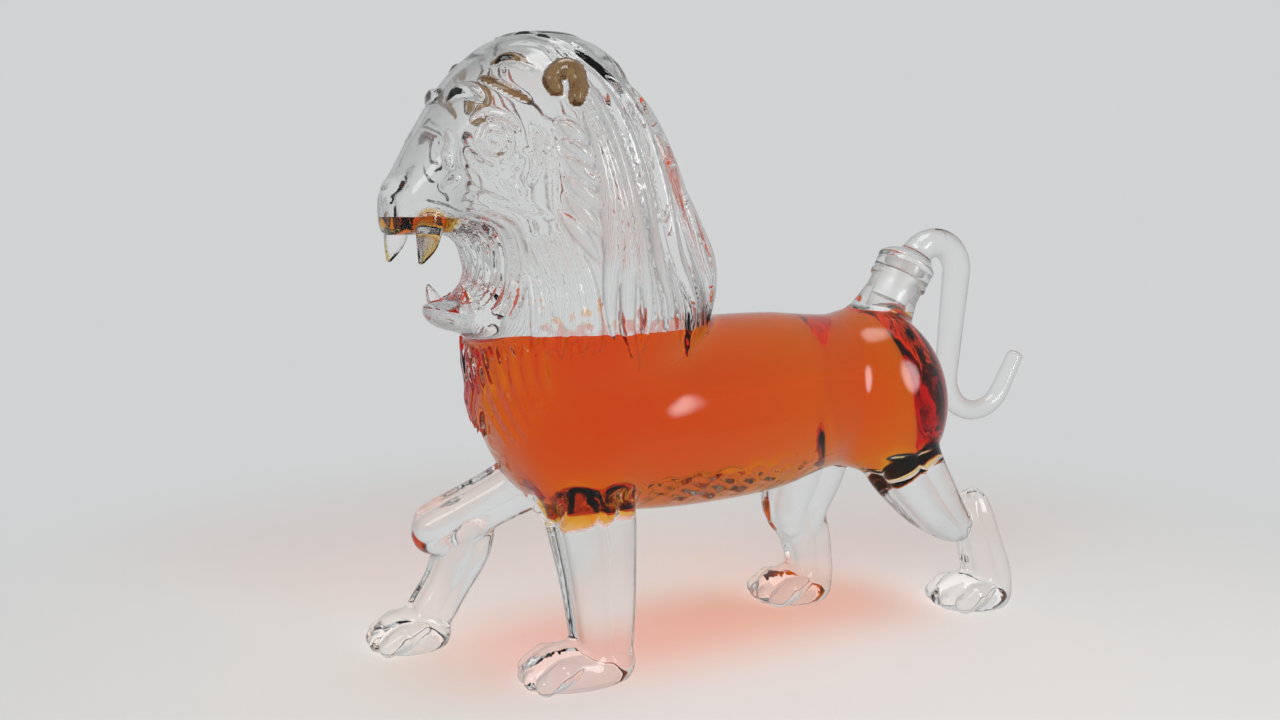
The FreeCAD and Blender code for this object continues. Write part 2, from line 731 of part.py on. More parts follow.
def tail_solid():
    """A round rod along tangent arcs and runs that thins from its root to its tip."""
    radius = size("tail_top_radius")
    top = VECTOR(size("tail_top_x"), 0, size("tail_top_z") - radius)
    begin = 180 - math.degrees(math.acos((top.x - size("tail_start_x")) / radius))
    over, here = arc(top, radius, begin, -size("tail_run_lean"))
    lean = math.radians(size("tail_run_lean"))
    foot = here + VECTOR(-math.sin(lean), 0, -math.cos(lean)) * size("tail_run")
    hook_radius = size("tail_hook_radius")
    hook_centre = foot + VECTOR(math.cos(lean), 0, -math.sin(lean)) * hook_radius
    hook_start = 180 - size("tail_run_lean")
    hook, here_again = arc(hook_centre, hook_radius, hook_start, hook_start + size("tail_hook_turn"))
    out = math.radians(hook_start + size("tail_hook_turn"))
    tip = here_again + VECTOR(-math.sin(out), 0, math.cos(out)) * size("tail_end")
    path = Part.Wire([over, Part.makeLine(here, foot), hook, Part.makeLine(here_again, tip)])
    start = over.valueAt(over.FirstParameter)
    root_ring = Part.makeCircle(size("tail_root_diameter") / 2, start, over.tangentAt(over.FirstParameter))
    tip_ring = Part.makeCircle(size("tail_tip_diameter") / 2, tip, tip - here_again)
    shell = Part.BRepOffsetAPI.MakePipeShell(path)
    shell.add(Part.Wire(root_ring))
    shell.add(Part.Wire(tip_ring))
    shell.build()
    shell.makeSolid()
    return shell.shape().fuse(Part.makeSphere(size("tail_tip_diameter") / 2, tip))


tail_drawn = feature("tail_drawn", tail_solid())
node(cut("tail_rod", tail_drawn, collar))

# Liquor

surface = slab("below_surface", "Sizes.liquor_level")
cavity = fuse("cavity", torso_inner, cut("throat", mane_inner, mouth_back))
node(common("liquor_fill", cavity, surface))
lip_floor = size("mouth_z") + size("mouth_gape") / 2 + size("wall") + 0.1
lip_back = MOUTH_X + size("mouth_gape") / 2
lip_pool = primitive("Part::Box", "lip_pool", at(lip_back - FAR, -FAR, lip_floor), Length=f"{FAR}",
                     Width=f"{2 * FAR}", Height=f"Sizes.lip_pool_level - {lip_floor}")
node(common("muzzle_liquor", muzzle_inner, lip_pool))

# Checks and export

doc.recompute()
faults = [item.Name for item in doc.Objects if "Invalid" in item.State or "Error" in item.State]
for item in nodes:
    shape = item.Shape
    if shape.isNull() or not shape.isValid() or len(shape.Solids) != 1:
        faults.append(f"{item.Name}, {len(shape.Solids)} solids")
if faults:
    raise RuntimeError(f"failed: {faults}")
os.makedirs("parts", exist_ok=True)
for item in nodes:
    item.Shape.exportStep(f"parts/{item.Label}.step")
    print(f"{item.Label}: {item.Shape.Volume / 1000:.2f} cm3")
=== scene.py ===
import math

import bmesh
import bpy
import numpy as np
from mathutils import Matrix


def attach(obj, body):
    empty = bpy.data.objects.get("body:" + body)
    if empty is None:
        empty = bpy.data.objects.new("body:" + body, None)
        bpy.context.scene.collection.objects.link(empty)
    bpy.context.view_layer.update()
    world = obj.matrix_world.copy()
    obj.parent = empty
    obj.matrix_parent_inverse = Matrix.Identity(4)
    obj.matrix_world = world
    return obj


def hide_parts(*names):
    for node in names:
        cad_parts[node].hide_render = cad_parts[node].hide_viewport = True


bl_info = {
    "name": "Glass lion decanter",
    "version": (1, 0, 0),
    "blender": (4, 5, 0),
    "location": "View3D > Sidebar > Lion",
    "description": "Builds a walking lion of clear glass, filled with liquor, whose tail is the stopper",
    "category": "Object",
}

import openvdb
from mathutils import Vector

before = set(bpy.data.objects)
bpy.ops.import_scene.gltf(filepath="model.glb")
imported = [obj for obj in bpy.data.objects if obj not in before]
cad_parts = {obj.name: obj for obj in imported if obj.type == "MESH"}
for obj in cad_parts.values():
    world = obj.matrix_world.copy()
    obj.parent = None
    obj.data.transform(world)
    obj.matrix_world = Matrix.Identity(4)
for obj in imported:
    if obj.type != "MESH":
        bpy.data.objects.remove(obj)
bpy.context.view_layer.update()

# Lengths inside the sculpting functions are in millimetres, and meshes are in metres.
MM = 0.001
HEAD_TURN = math.radians(12)
HEAD_PIVOT_X = -70
NECK_LEAN = math.radians(29.5)
NECK_AXIS = np.array([math.sin(NECK_LEAN), 0, math.cos(NECK_LEAN)])
RIM = np.array([75, 0, 138]) + 15.5 * NECK_AXIS

# The photographer's view, in millimetres and in pixels of a 1280 by 720 frame
VIEW_FROM = np.array([-241.36, -430.18, 179.32])
VIEW_YAW = math.radians(24.287)
VIEW_DOWN = math.radians(7.14)
VIEW_FOCAL = 1150
VIEW_WIDTH = 1280
VIEW_HEIGHT = 720


class LionShape(bpy.types.PropertyGroup):
    """Sizes of the glass and of the filling."""

    wall: bpy.props.FloatProperty(
        name="Wall", description="Thickness of the blown wall", default=0.0026, subtype="DISTANCE")
    liquor_level: bpy.props.FloatProperty(
        name="Liquor level", description="Height of the liquor above the table", default=0.136,
        subtype="DISTANCE")
    lip_level: bpy.props.FloatProperty(
        name="Lip pool level", description="Height of the small pool in the upper lip", default=0.179,
        subtype="DISTANCE")
    head_grain: bpy.props.FloatProperty(
        name="Head grain", description="Spacing of the sculpting grid on the head", default=0.00095,
        subtype="DISTANCE")
    body_grain: bpy.props.FloatProperty(
        name="Body grain", description="Spacing of the sculpting grid on the body", default=0.0014,
        subtype="DISTANCE")
    leg_grain: bpy.props.FloatProperty(
        name="Leg grain", description="Spacing of the sculpting grid on legs and stopper", default=0.0009,
        subtype="DISTANCE")
    hollow_grain: bpy.props.FloatProperty(
        name="Hollow grain", description="Spacing of the sculpting grid on the inner wall", default=0.0017,
        subtype="DISTANCE")


class LionFinish(bpy.types.PropertyGroup):
    """Colours and optics of the glass and of the liquor."""

    glass_tint: bpy.props.FloatVectorProperty(
        name="Glass tint", description="Colour of the clear glass", default=(0.985, 0.99, 0.985),
        size=3, min=0, max=1, subtype="COLOR")
    # Painted glint: a brown-gold tint in place of the surroundings and liquor seen through the ears and
    # strands
    painted_glint_tint: bpy.props.FloatVectorProperty(
        name="Painted glint tint", description="Colour of the thick glass at the ears", default=(0.15, 0.052, 0.01),
        size=3, min=0, max=1, subtype="COLOR")
    glass_ior: bpy.props.FloatProperty(
        name="Glass IOR", description="Refractive index of the glass", default=1.47, min=1, max=2)
    liquor_tint: bpy.props.FloatVectorProperty(
        name="Liquor tint", description="Colour that the liquor lets through", default=(0.995, 0.8, 0.12),
        size=3, min=0, max=1, subtype="COLOR")
    liquor_depth: bpy.props.FloatProperty(
        name="Liquor depth", description="How strongly the liquor absorbs, per metre", default=150, min=0)
    liquor_ior: bpy.props.FloatProperty(
        name="Liquor IOR", description="Refractive index of the liquor", default=1.36, min=1, max=2)


# Sculpting in distance fields

def ease(place, knots, values):
    """Values that pass smoothly through knots, for an array of places."""
    knots = np.asarray(knots, np.float64)
    values = np.asarray(values, np.float64)
    slopes = np.gradient(values, knots)
    place = np.clip(place, knots[0], knots[-1])
    low = np.clip(np.searchsorted(knots, place) - 1, 0, len(knots) - 2)
    span = knots[low + 1] - knots[low]
    t = (place - knots[low]) / span
    rise = t * t * (3 - 2 * t)
    start = t * (1 - t) ** 2 * span * slopes[low]
    end = t * t * (t - 1) * span * slopes[low + 1]
    return (values[low] * (1 - rise) + values[low + 1] * rise + start + end).astype(np.float32)


def melt(a, b, reach):
    """Two fields joined with a soft fillet."""
    share = np.clip(0.5 + 0.5 * (b - a) / reach, 0, 1)
    return b + (a - b) * share - reach * share * (1 - share)


def carve(a, b, reach):
    """Field a with field b taken out of it, along a soft edge."""
    return -melt(-a, b, reach)


def levelled(values, grain):
    """A field scaled so that it grows about one millimetre per millimetre."""
    parts = np.gradient(values, grain)
    slope = np.sqrt(parts[0] ** 2 + parts[1] ** 2 + parts[2] ** 2)
    return values / np.maximum(slope, 0.35)


class Block:
    """A box of space with a regular grid."""

    def __init__(self, low, high, grain):
        self.low = np.asarray(low, np.float64)
        self.grain = grain
        self.counts = np.ceil((np.asarray(high) - self.low) / grain).astype(int) + 1
        axes = [(self.low[i] + grain * np.arange(self.counts[i])).astype(np.float32) for i in range(3)]
        self.x = axes[0][:, None, None]
        self.y = axes[1][None, :, None]
        self.z = axes[2][None, None, :]

    def empty(self):
        """A field with nothing near."""
        return np.full(tuple(self.counts), 99, np.float32)

    def window(self, low, high):
        """The part of the grid inside a box, as slices, or None."""
        first = np.floor((np.asarray(low) - self.low) / self.grain).astype(int)
        last = np.ceil((np.asarray(high) - self.low) / self.grain).astype(int) + 1
        first = np.clip(first, 0, self.counts)
        last = np.clip(last, 0, self.counts)
        if np.any(last - first < 1):
            return None
        return tuple(slice(a, b) for a, b in zip(first, last))

    def at(self, window):
        """The coordinates of a window."""
        return self.x[window[0]], self.y[:, window[1]], self.z[:, :, window[2]]


def to_head(x, y):
    """Level coordinates seen from the turned head."""
    c, s = math.cos(HEAD_TURN), math.sin(HEAD_TURN)
    return (x - HEAD_PIVOT_X) * c + y * s + HEAD_PIVOT_X, y * c - (x - HEAD_PIVOT_X) * s


def from_head(points):
    """Points of the turned head, placed on the lion."""
    c, s = math.cos(HEAD_TURN), math.sin(HEAD_TURN)
    points = np.asarray(points, np.float64)
    x = points[:, 0] - HEAD_PIVOT_X
    return np.stack([x * c - points[:, 1] * s + HEAD_PIVOT_X, x * s + points[:, 1] * c, points[:, 2]], 1)


# The body's rings: where chest and rump start to close, and over what length they close
CHEST_X = -92
CHEST_REACH = 23.7
RUMP_X = 70
RUMP_REACH = 27
BODY_Z = 98.5


def torso_field(x, y, z):
    """The body from chest to rump: rings that lean forward at the chest and droop at the rump."""
    lean = ease(x, (-95, -62, -20), (0.404, 0.105, 0))
    along = x + lean * (z - BODY_Z)
    chest = np.clip((CHEST_X - along) / CHEST_REACH, 0, 0.999)
    rump = np.clip((along - RUMP_X) / RUMP_REACH, 0, 0.999)
    shrink = np.sqrt(1 - np.maximum(chest, rump) ** 2)
    knots = (CHEST_X, -62, -20, 14, 42, RUMP_X)
    centre = ease(along, knots, (98.5, 98.5, 98, 99.5, 102, 102)) - 8.25 * chest - 12 * rump
    dent = 0.5 * np.exp(-((along - 46) / 7) ** 2)
    tall = ease(along, knots, (36, 39.4, 39.75, 38.5, 34.4, 38.5)) * shrink - dent
    wide = ease(along, knots, (38.1, 41, 39, 36, 33, 36)) * shrink - dent
    reach = np.sqrt((y / wide) ** 2 + ((z - centre) / tall) ** 2)
    ends = np.maximum(CHEST_X - CHEST_REACH - along, along - (RUMP_X + RUMP_REACH))
    return np.maximum((reach - 1) * np.minimum(wide, tall), ends)


# Muscles as (x, y, z) and half sizes, on both sides of the body
MUSCLES = (((-80, 24, 86), (20, 17.5, 26)), ((67, 17, 97), (24, 20, 31)))
MUSCLE_MELT = 8


def ball_field(x, y, z, middle, half):
    """A rounded lump with half sizes of its own."""
    parts = (x - middle[0]) / half[0], (y - middle[1]) / half[1], (z - middle[2]) / half[2]
    return (np.sqrt(parts[0] ** 2 + parts[1] ** 2 + parts[2] ** 2) - 1) * min(half)


def body_base(x, y, z, grain):
    """The body with its muscles, scaled as a distance."""
    field = levelled(torso_field(x, y, z) + 0 * (x + y + z), grain)
    for middle, half in MUSCLES:
        field = melt(field, ball_field(x, np.abs(y), z, middle, half), MUSCLE_MELT)
    return field


# The mane as rings: level, middle, half length and half width
MANE_LEVELS = (98, 119.6, 137.6, 158, 182.3, 203, 222.8, 237.2, 244.9, 248, 248.6)
MANE_MIDDLE = (-70, -70.5, -70, -68.5, -78.8, -86.5, -91.3, -92.7, -92, -92, -92)
MANE_LONG = (39.5, 48.9, 52, 50.4, 46.8, 41.6, 36.4, 27, 17.2, 7.3, 1)
MANE_WIDE = (39.2, 41.4, 43.2, 45, 45, 42.8, 37.4, 28.8, 18.9, 7.7, 1)


def mane_field(x, y, z):
    """The mane's mass in the head's own coordinates."""
    middle = ease(z, MANE_LEVELS, MANE_MIDDLE)
    long = ease(z, MANE_LEVELS, MANE_LONG)
    wide = ease(z, MANE_LEVELS, MANE_WIDE)
    reach = np.sqrt(((x - middle) / long) ** 2 + (y / wide) ** 2)
    ends = np.maximum(z - 248.5, 98 - z)
    return np.maximum((reach - 1) * np.minimum(long, wide), ends)


def boxy(across, up, power=3):
    """How far out a point lies in a ring with full corners: 1 is on the ring."""
    return (np.abs(across) ** power + np.abs(up) ** power) ** (1 / power)


# Face and jaw start at one place and end at their own; the mouth is a round hollow between them
FACE_ROOT = -98
MUZZLE_LONG = 57.5
LIP_Z = 172.5
JAW_LONG = 42
MOUTH_X = -131
MOUTH_Z = 161
MOUTH_RADIUS = 12
FACE_MELT = 7
NECK_MELT = 5


def muzzle_field(x, y, z):
    """The face from the brow to the lip, in the head's own coordinates."""
    share = (FACE_ROOT - x) / MUZZLE_LONG
    knots = (0, 0.26, 0.52, 0.7, 0.86, 0.96, 1, 1.02)
    top = ease(share, knots, (240, 238.1, 228.5, 214.6, 199.7, 191.4, 188.1, 185))
    wide = ease(share, knots, (32, 30.4, 24.6, 20.5, 16.7, 12.5, 8.7, 4))
    tall = (top - LIP_Z) / 2
    reach = boxy(y / wide, (z - LIP_Z - tall) / tall)
    ends = np.maximum((share - 1.02) * MUZZLE_LONG, -share * MUZZLE_LONG - 25)
    return np.maximum((reach - 1) * np.minimum(wide, tall), ends)


def jaw_field(x, y, z):
    """The lower jaw in the head's own coordinates."""
    share = (FACE_ROOT - x) / JAW_LONG
    knots = (0, 0.45, 0.75, 0.93, 1, 1.03)
    middle = ease(share, knots, (143, 143.2, 142.4, 143.4, 144.8, 145.2))
    tall = ease(share, knots, (11.2, 9, 6.3, 3.9, 2.2, 1))
    wide = ease(share, knots, (25, 22, 17, 11.5, 6.5, 3))
    reach = boxy(y / wide, (z - middle) / tall, 2.6)
    ends = np.maximum((share - 1.03) * JAW_LONG, -share * JAW_LONG - 20)
    return np.maximum((reach - 1) * np.minimum(wide, tall), ends)


def mouth_field(x, z, radius):
    """The round hollow of the open mouth."""
    return np.sqrt((x - MOUTH_X) ** 2 + (z - MOUTH_Z) ** 2) - radius


def rod_field(x, y, z, stations, flat=1):
    """A rod through (x, y, z, radius) stations, flattened across the lion by a factor."""
    field = None
    for a, b in zip(stations[:-1], stations[1:]):
        run = np.subtract(b[:3], a[:3]).astype(np.float32)
        run[1] *= flat
        px, py, pz = x - a[0], (y - a[1]) * flat, z - a[2]
        t = np.clip((px * run[0] + py * run[1] + pz * run[2]) / float(run @ run), 0, 1)
        away = np.sqrt((px - t * run[0]) ** 2 + (py - t * run[1]) ** 2 + (pz - t * run[2]) ** 2)
        piece = away - (a[3] + (b[3] - a[3]) * t)
        field = piece if field is None else np.minimum(field, piece)
    return field


def smooth_path(points, parts=4):
    """A curve of short runs that passes smoothly through points of any size."""
    points = np.asarray(points, np.float64)
    spots = np.arange(len(points))
    fine = np.linspace(0, len(points) - 1, (len(points) - 1) * parts + 1)
    return np.stack([ease(fine, spots, points[:, i]) for i in range(points.shape[1])], 1)


# Legs as rods through (x, y, z, radius) stations
LEG_PARTS = 10
NEAR_FORELEG = smooth_path([
    (-81, -16, 98, 17), (-79.8, -25, 71, 18.2), (-77.6, -28.6, 42, 15.2), (-76, -29, 14, 12.4),
    (-76, -29, 5, 11)], LEG_PARTS)
FAR_ARM = smooth_path([
    (-69.5, 18.7, 78.8, 14.4), (-86.5, 23.2, 69.6, 13), (-103.5, 27.7, 60.4, 11.6), (-119, 32, 52, 11.6),
    (-126.5, 34, 48, 11.2)], LEG_PARTS)
FAR_SHIN = smooth_path([
    (-111, 33, 47, 10.6), (-114.5, 33.4, 39, 11.8), (-121.5, 34, 25, 10), (-129, 34, 13, 10),
    (-132, 34, 6, 8)], LEG_PARTS)
NEAR_THIGH = smooth_path([
    (66.3, -15, 98, 18), (71, -19, 75, 17.4), (85, -21, 54, 14), (96, -20.4, 43, 10.6),
    (102, -20, 38, 8.4)], LEG_PARTS)
NEAR_HOCK = smooth_path([
    (111.8, -20, 48.5, 7.2), (113, -20.4, 41, 9), (117, -21, 27, 10), (121.5, -21, 13, 10.8),
    (122, -21, 5, 9.5)], LEG_PARTS)
FAR_THIGH = smooth_path([
    (47.6, 12, 98, 17.6), (47.6, 18, 68, 17.4), (42, 20.4, 48, 15.6), (42.5, 21, 38, 13)], LEG_PARTS)
FAR_HOCK = smooth_path([
    (45.5, 21, 40, 11.5), (48, 21, 30, 11.6), (50, 21, 20, 10.8), (50, 21, 12, 11.4),
    (50, 21, 5, 9.5)], LEG_PARTS)
# Each leg with how much it is flattened across the lion
LEG_RODS = ((NEAR_FORELEG, 1.12), (FAR_ARM, 1), (FAR_SHIN, 1), (NEAR_THIGH, 1.05), (NEAR_HOCK, 1.05),
            (FAR_THIGH, 1.05), (FAR_HOCK, 1.05))
# Drawn ridges of a leg: how many, their first turn, and their shares of the radius
FLUTES = 5
FLUTE_TURN = 0.8
FLUTE_OUT = 0.56
FLUTE_RADIUS = 0.5
FLUTED_CORE = 0.88


def fluted(stations, number):
    """One of the drawn ridges that run down a leg beside its middle line."""
    run = stations[-1, :3] - stations[0, :3]
    run = run / np.linalg.norm(run)
    first = np.cross(run, (0, 1, 0))
    first = first / np.linalg.norm(first)
    second = np.cross(run, first)
    turn = 2 * math.pi * (number + FLUTE_TURN) / FLUTES
    out = FLUTE_OUT * (math.cos(turn) * first + math.sin(turn) * second)
    middle = stations[:, :3] + stations[:, 3:] * out
    return np.column_stack([middle, FLUTE_RADIUS * stations[:, 3]])


# Paws as the x and y of the heel and the length
PAWS = ((-76, -29, 46), (-130, 34, 33), (122, -21, 38), (50, 21, 38))
TOE_SPREAD = 7.3
TOE_RADIUS = 4.7


def paw_field(x, y, z, heel_x, heel_y, long):
    """A pad with four tooled toes, flat under its sole."""
    px = (x - heel_x + 0.22 * long) / (0.5 * long)
    py = (y - heel_y) / 14
    pz = (z - 4.8) / 11.2
    field = (np.sqrt(px * px + py * py + pz * pz) - 1) * 11.2
    for number in range(4):
        off = number - 1.5
        tip_x = heel_x - 0.65 * long + 2.6 * abs(off)
        toe = rod_field(x, y, z, [
            (tip_x + 13, heel_y + 0.85 * TOE_SPREAD * off, 9.2, 3.4),
            (tip_x + 5, heel_y + TOE_SPREAD * off, 7.8, TOE_RADIUS),
            (tip_x - 1.5, heel_y + TOE_SPREAD * off, 4.4, TOE_RADIUS - 0.6)])
        field = melt(field, toe, 0.5)
    return np.maximum(field, -z)


# Strokes of tooled glass on the near side, as pixels of the photographer's frame
LONG_LOCKS = (
    ((572, 41), (612, 77), (641, 108), (663, 152), (679, 197), (693, 237), (708, 280), (711, 306)),
    ((560, 39), (601, 70), (630, 106), (650, 150), (663, 200), (674, 250), (690, 300), (690, 330),
     (688, 358)),
    ((551, 43), (591, 76), (614, 110), (632, 155), (645, 205), (655, 255), (666, 300), (668, 332)),
    ((546, 48), (582, 85), (604, 120), (620, 165), (632, 215), (640, 260), (646, 300), (645, 330),
     (642, 352)),
    ((580, 92), (598, 130), (612, 175), (622, 225), (627, 270), (627, 320), (632, 345), (639, 370)),
    ((583, 108), (597, 150), (607, 200), (612, 250), (610, 300), (614, 340)),
)
CHEEK_STROKES = (
    ((558, 122), (572, 130), (586, 142)),
    ((562, 140), (578, 149), (595, 164)),
    ((566, 158), (582, 170), (602, 188)),
    ((568, 178), (584, 192), (604, 212)),
    ((566, 196), (584, 214), (604, 238)),
    ((560, 212), (580, 234), (600, 262)),
)
THROAT_STROKES = (
    ((572, 238), (586, 268), (594, 300), (598, 330), (600, 354)),
    ((558, 236), (574, 270), (580, 304), (582, 336), (583, 358)),
    ((544, 238), (560, 272), (564, 306), (562, 340), (561, 360)),
    ((529, 240), (545, 274), (549, 308), (548, 340), (546, 357)),
    ((515, 246), (530, 276), (536, 308), (536, 340), (533, 354)),
)
MOUTH_RIBS = (
    ((450, 232), (464, 244), (470, 262), (466, 282), (452, 297)),
    ((455, 226), (474, 237), (482, 262), (477, 287), (461, 301)),
    ((460, 221), (486, 230), (496, 261), (490, 292), (473, 308)),
    ((467, 216), (499, 226), (511, 260), (505, 296), (489, 314)),
    ((480, 212), (513, 226), (525, 262), (520, 298), (508, 322)),
)
CROWN_STRANDS = (
    ((512, 36), (524, 34), (548, 38), (574, 48)),
    ((506, 46), (526, 43), (550, 51), (566, 63)),
    ((498, 62), (525, 66), (548, 77)),
)
# Each with its radius
FACE_STROKES = (
    (2.6, ((447, 100), (458, 91), (472, 92), (488, 104))),
    (1.9, ((470, 122), (488, 116), (508, 121), (520, 134))),
    (1.8, ((468, 150), (478, 163), (494, 169), (510, 163), (519, 150))),
    (1.3, ((475, 160), (492, 174), (512, 170), (524, 156))),
    (1.5, ((446, 128), (451, 144), (447, 158), (452, 170))),
    (1.4, ((441, 188), (452, 181), (462, 172))),
    (1.7, ((456, 204), (480, 196), (505, 202), (530, 211), (556, 219))),
    (1.5, ((500, 180), (513, 186), (518, 198), (508, 206))),
    (1.3, ((520, 150), (535, 152), (538, 166), (530, 184))),
    (1.4, ((532, 122), (536, 138), (548, 152), (556, 174))),
    (1.3, ((552, 130), (556, 150), (564, 168), (568, 190))),
)
EYE_BEAD = ((491, 140), (495, 140), (498, 140))
EYE_RIM = ((483, 140), (488, 130), (500, 131), (506, 141), (499, 150), (488, 149), (483, 140))
# The ear, a brow strand and a crown patch are painted glints: their glass is tinted brown-gold in place of
# the surroundings and liquor seen through it
EAR_HOOK = ((556, 88), (552, 80), (557, 71), (566, 67), (575, 72), (579, 84), (577, 98))
PAINTED_GLINT_STRAND = ((482, 79), (494, 83), (511, 91), (528, 100))
CROWN_PATCH = ((494, 64), (504, 58), (516, 58), (526, 65))
BELLY_HIGH = ((648, 482), (680, 478), (717, 473), (752, 466), (782, 457), (810, 447))
BELLY_LOW = ((642, 500), (680, 499), (712, 495), (752, 485), (790, 472), (818, 461))
BELLY_THREADS = 4
CHEST_STROKES = (
    ((468, 350), (479, 382), (493, 415), (508, 448)),
    ((481, 348), (491, 380), (504, 414), (520, 447)),
    ((494, 346), (503, 378), (515, 410), (531, 442)),
    ((509, 344), (515, 372), (524, 402), (538, 432)),
    ((524, 343), (527, 368), (533, 394), (543, 418)),
    ((540, 342), (541, 362), (544, 382), (551, 402)),
)
# Strokes with their radius and the radius of a finer stroke between each two, all laid proud of the skin
TOOLED = ((LONG_LOCKS, 3.6, 1.3), (CHEEK_STROKES, 2.8, 0), (THROAT_STROKES, 2.3, 1.8),
          (MOUTH_RIBS, 1.8, 1.4), (CHEST_STROKES, 2.6, 1.7))
PROUD = -0.32


def view_axes():
    """Right, up and forward of the photographer's view."""
    right = np.array([math.cos(VIEW_YAW), -math.sin(VIEW_YAW), 0])
    level = np.array([math.sin(VIEW_YAW), math.cos(VIEW_YAW), 0])
    forward = level * math.cos(VIEW_DOWN) - np.array([0, 0, math.sin(VIEW_DOWN)])
    return right, np.cross(right, forward), forward


def head_base(x, y, z):
    """The head without its tooling, in the head's own coordinates."""
    field = melt(mane_field(x, y, z), muzzle_field(x, y, z), FACE_MELT)
    field = melt(field, jaw_field(x, y, z), 6)
    return carve(field, mouth_field(x, z, MOUTH_RADIUS), 3)


def on_skin(pixels, depth, base=head_base):
    """Where lines of sight through pixels first pass below a skin, in the head's coordinates."""
    right, up, forward = view_axes()
    steps = np.arange(330, 640, 0.5)
    found = []
    for px, py in pixels:
        sight = VIEW_FOCAL * forward + (px - VIEW_WIDTH / 2) * right - (py - VIEW_HEIGHT / 2) * up
        line = VIEW_FROM + steps[:, None] * sight / np.linalg.norm(sight)
        x, y = to_head(line[:, 0], line[:, 1])
        field = base(x, y, line[:, 2])
        inside = np.nonzero(field < -depth)[0]
        spot = inside[0] if len(inside) else int(np.argmin(field))
        found.append((x[spot], y[spot], line[spot, 2]))
    return np.array(found)


def tapered(path, radius, thin=0.12):
    """A path of points with a radius that thins to both ends."""
    share = np.linspace(0, 1, len(path))
    swell = thin + (1 - thin) * np.sin(np.pi * share) ** 0.8
    return np.column_stack([path, radius * swell])


def chest_base(x, y, z):
    """The body without its tooling, in the head's own coordinates."""
    c, s = math.cos(HEAD_TURN), math.sin(HEAD_TURN)
    return torso_field((x - HEAD_PIVOT_X) * c - y * s + HEAD_PIVOT_X, (x - HEAD_PIVOT_X) * s + y * c, z)


def throat_base(x, y, z):
    """The head and the body together, without their tooling, in the head's own coordinates."""
    return np.minimum(head_base(x, y, z), chest_base(x, y, z))


def traced(pixels, radius, sunk=0.05, thin=0.12, base=throat_base):
    """A stroke of glass laid on a skin along pixels, and its mirror image on the far side."""
    path = smooth_path(on_skin(smooth_path(pixels, 3), sunk * radius, base), 2)
    other = path * np.array([1, -1, 1])
    return [tapered(from_head(path), radius, thin), tapered(from_head(other), radius, thin)]


def halfway(first, second, share):
    """A stroke between two others, from start to end."""
    spots = np.linspace(0, 1, 8)
    lines = []
    for pixels in (first, second):
        pixels = np.asarray(pixels, float)
        own = np.linspace(0, 1, len(pixels))
        lines.append(np.stack([np.interp(spots, own, pixels[:, i]) for i in range(2)], 1))
    return lines[0] * (1 - share) + lines[1] * share


def nape_lock(angle, low):
    """A lock down the back of the mane, at an angle from its middle."""
    levels = np.linspace(238, low, 9)
    turn = math.radians(angle)
    x = ease(levels, MANE_LEVELS, MANE_MIDDLE) + ease(levels, MANE_LEVELS, MANE_LONG) * math.cos(turn)
    y = ease(levels, MANE_LEVELS, MANE_WIDE) * math.sin(turn)
    return tapered(from_head(smooth_path(np.column_stack([x, y, levels]), 3)), 3.1)


def fang(tip, root, middle, radii):
    """A drawn point through root, middle and tip on the near side, and its mirror image."""
    path = smooth_path([root, middle, tip], 4)
    size = ease(np.linspace(0, 1, len(path)), (0, 0.5, 1), radii)
    both = [path, path * np.array([1, -1, 1])]
    return [np.column_stack([from_head(side), size]) for side in both]


def tooling():
    """All strokes of mane, face, chest and belly as rods of (x, y, z, radius) stations."""
    strokes = []
    strokes += fang((-149.5, -13.6, 163), (-145.5, -13, 178), (-147, -13.8, 170), (5.2, 3.9, 1.1))
    strokes += fang((-133.5, -14.6, 153.2), (-130.5, -13.4, 145), (-132, -14.2, 149), (3.2, 2.4, 0.8))
    for group, wide, between in TOOLED:
        for pixels in group:
            strokes += traced(pixels, wide, PROUD)
        for first, second in zip(group[:-1], group[1:]):
            if between:
                strokes += traced(halfway(first, second, 0.5), between, PROUD)
    for pixels in CROWN_STRANDS:
        strokes += traced(pixels, 1.3, 0.2)
    for radius, pixels in FACE_STROKES:
        strokes += traced(pixels, radius, 0.1)
    strokes += traced(EYE_RIM, 1.7, -0.1, 1)
    strokes += traced(EYE_BEAD, 2.9, 0.35, 1)
    strokes += painted_glint_strokes()
    strokes += belly_threads()
    for number, angle in enumerate(range(-45, 46, 9)):
        strokes.append(nape_lock(angle, 132 + 5 * (number % 3)))
    return strokes


def belly_threads():
    """Wavy threads of thick glass along the bottom of the belly, on both sides."""
    strokes = []
    for number in range(BELLY_THREADS):
        line = smooth_path(halfway(BELLY_HIGH, BELLY_LOW, (number + 0.5) / BELLY_THREADS), 6)
        line[:, 1] += 3 * np.sin(0.9 * np.arange(len(line)) + 2.1 * number)
        path = from_head(on_skin(line, 0.2, throat_base))
        for side in (1, -1):
            strokes.append(tapered(path * (1, side, 1), 1.9))
    return strokes


def lay_strokes(block, strokes):
    """The field of many strokes with crisp grooves between them."""
    field = block.empty()
    for stations in strokes:
        for a, b in zip(stations[:-1], stations[1:]):
            reach = max(a[3], b[3]) + 4
            window = block.window(np.minimum(a[:3], b[:3]) - reach, np.maximum(a[:3], b[:3]) + reach)
            if window:
                piece = rod_field(*block.at(window), (a, b))
                field[window] = np.minimum(field[window], piece)
    return field


def about_neck(x, y, z):
    """How far along the neck's axis above the rim, and how far from the axis, a place lies."""
    along = (x - RIM[0]) * NECK_AXIS[0] + (z - RIM[2]) * NECK_AXIS[2]
    across = (x - RIM[0]) * NECK_AXIS[2] - (z - RIM[2]) * NECK_AXIS[0]
    return along, np.sqrt(across ** 2 + y ** 2)


def neck_foot(x, y, z):
    """The flared foot of the filling neck and its tube."""
    along, away = about_neck(x, y, z)
    wide = 12 + 4 * np.clip((-8.5 - along) / 19, 0, 1)
    return np.maximum(np.maximum(away - wide, along), -27 - along)


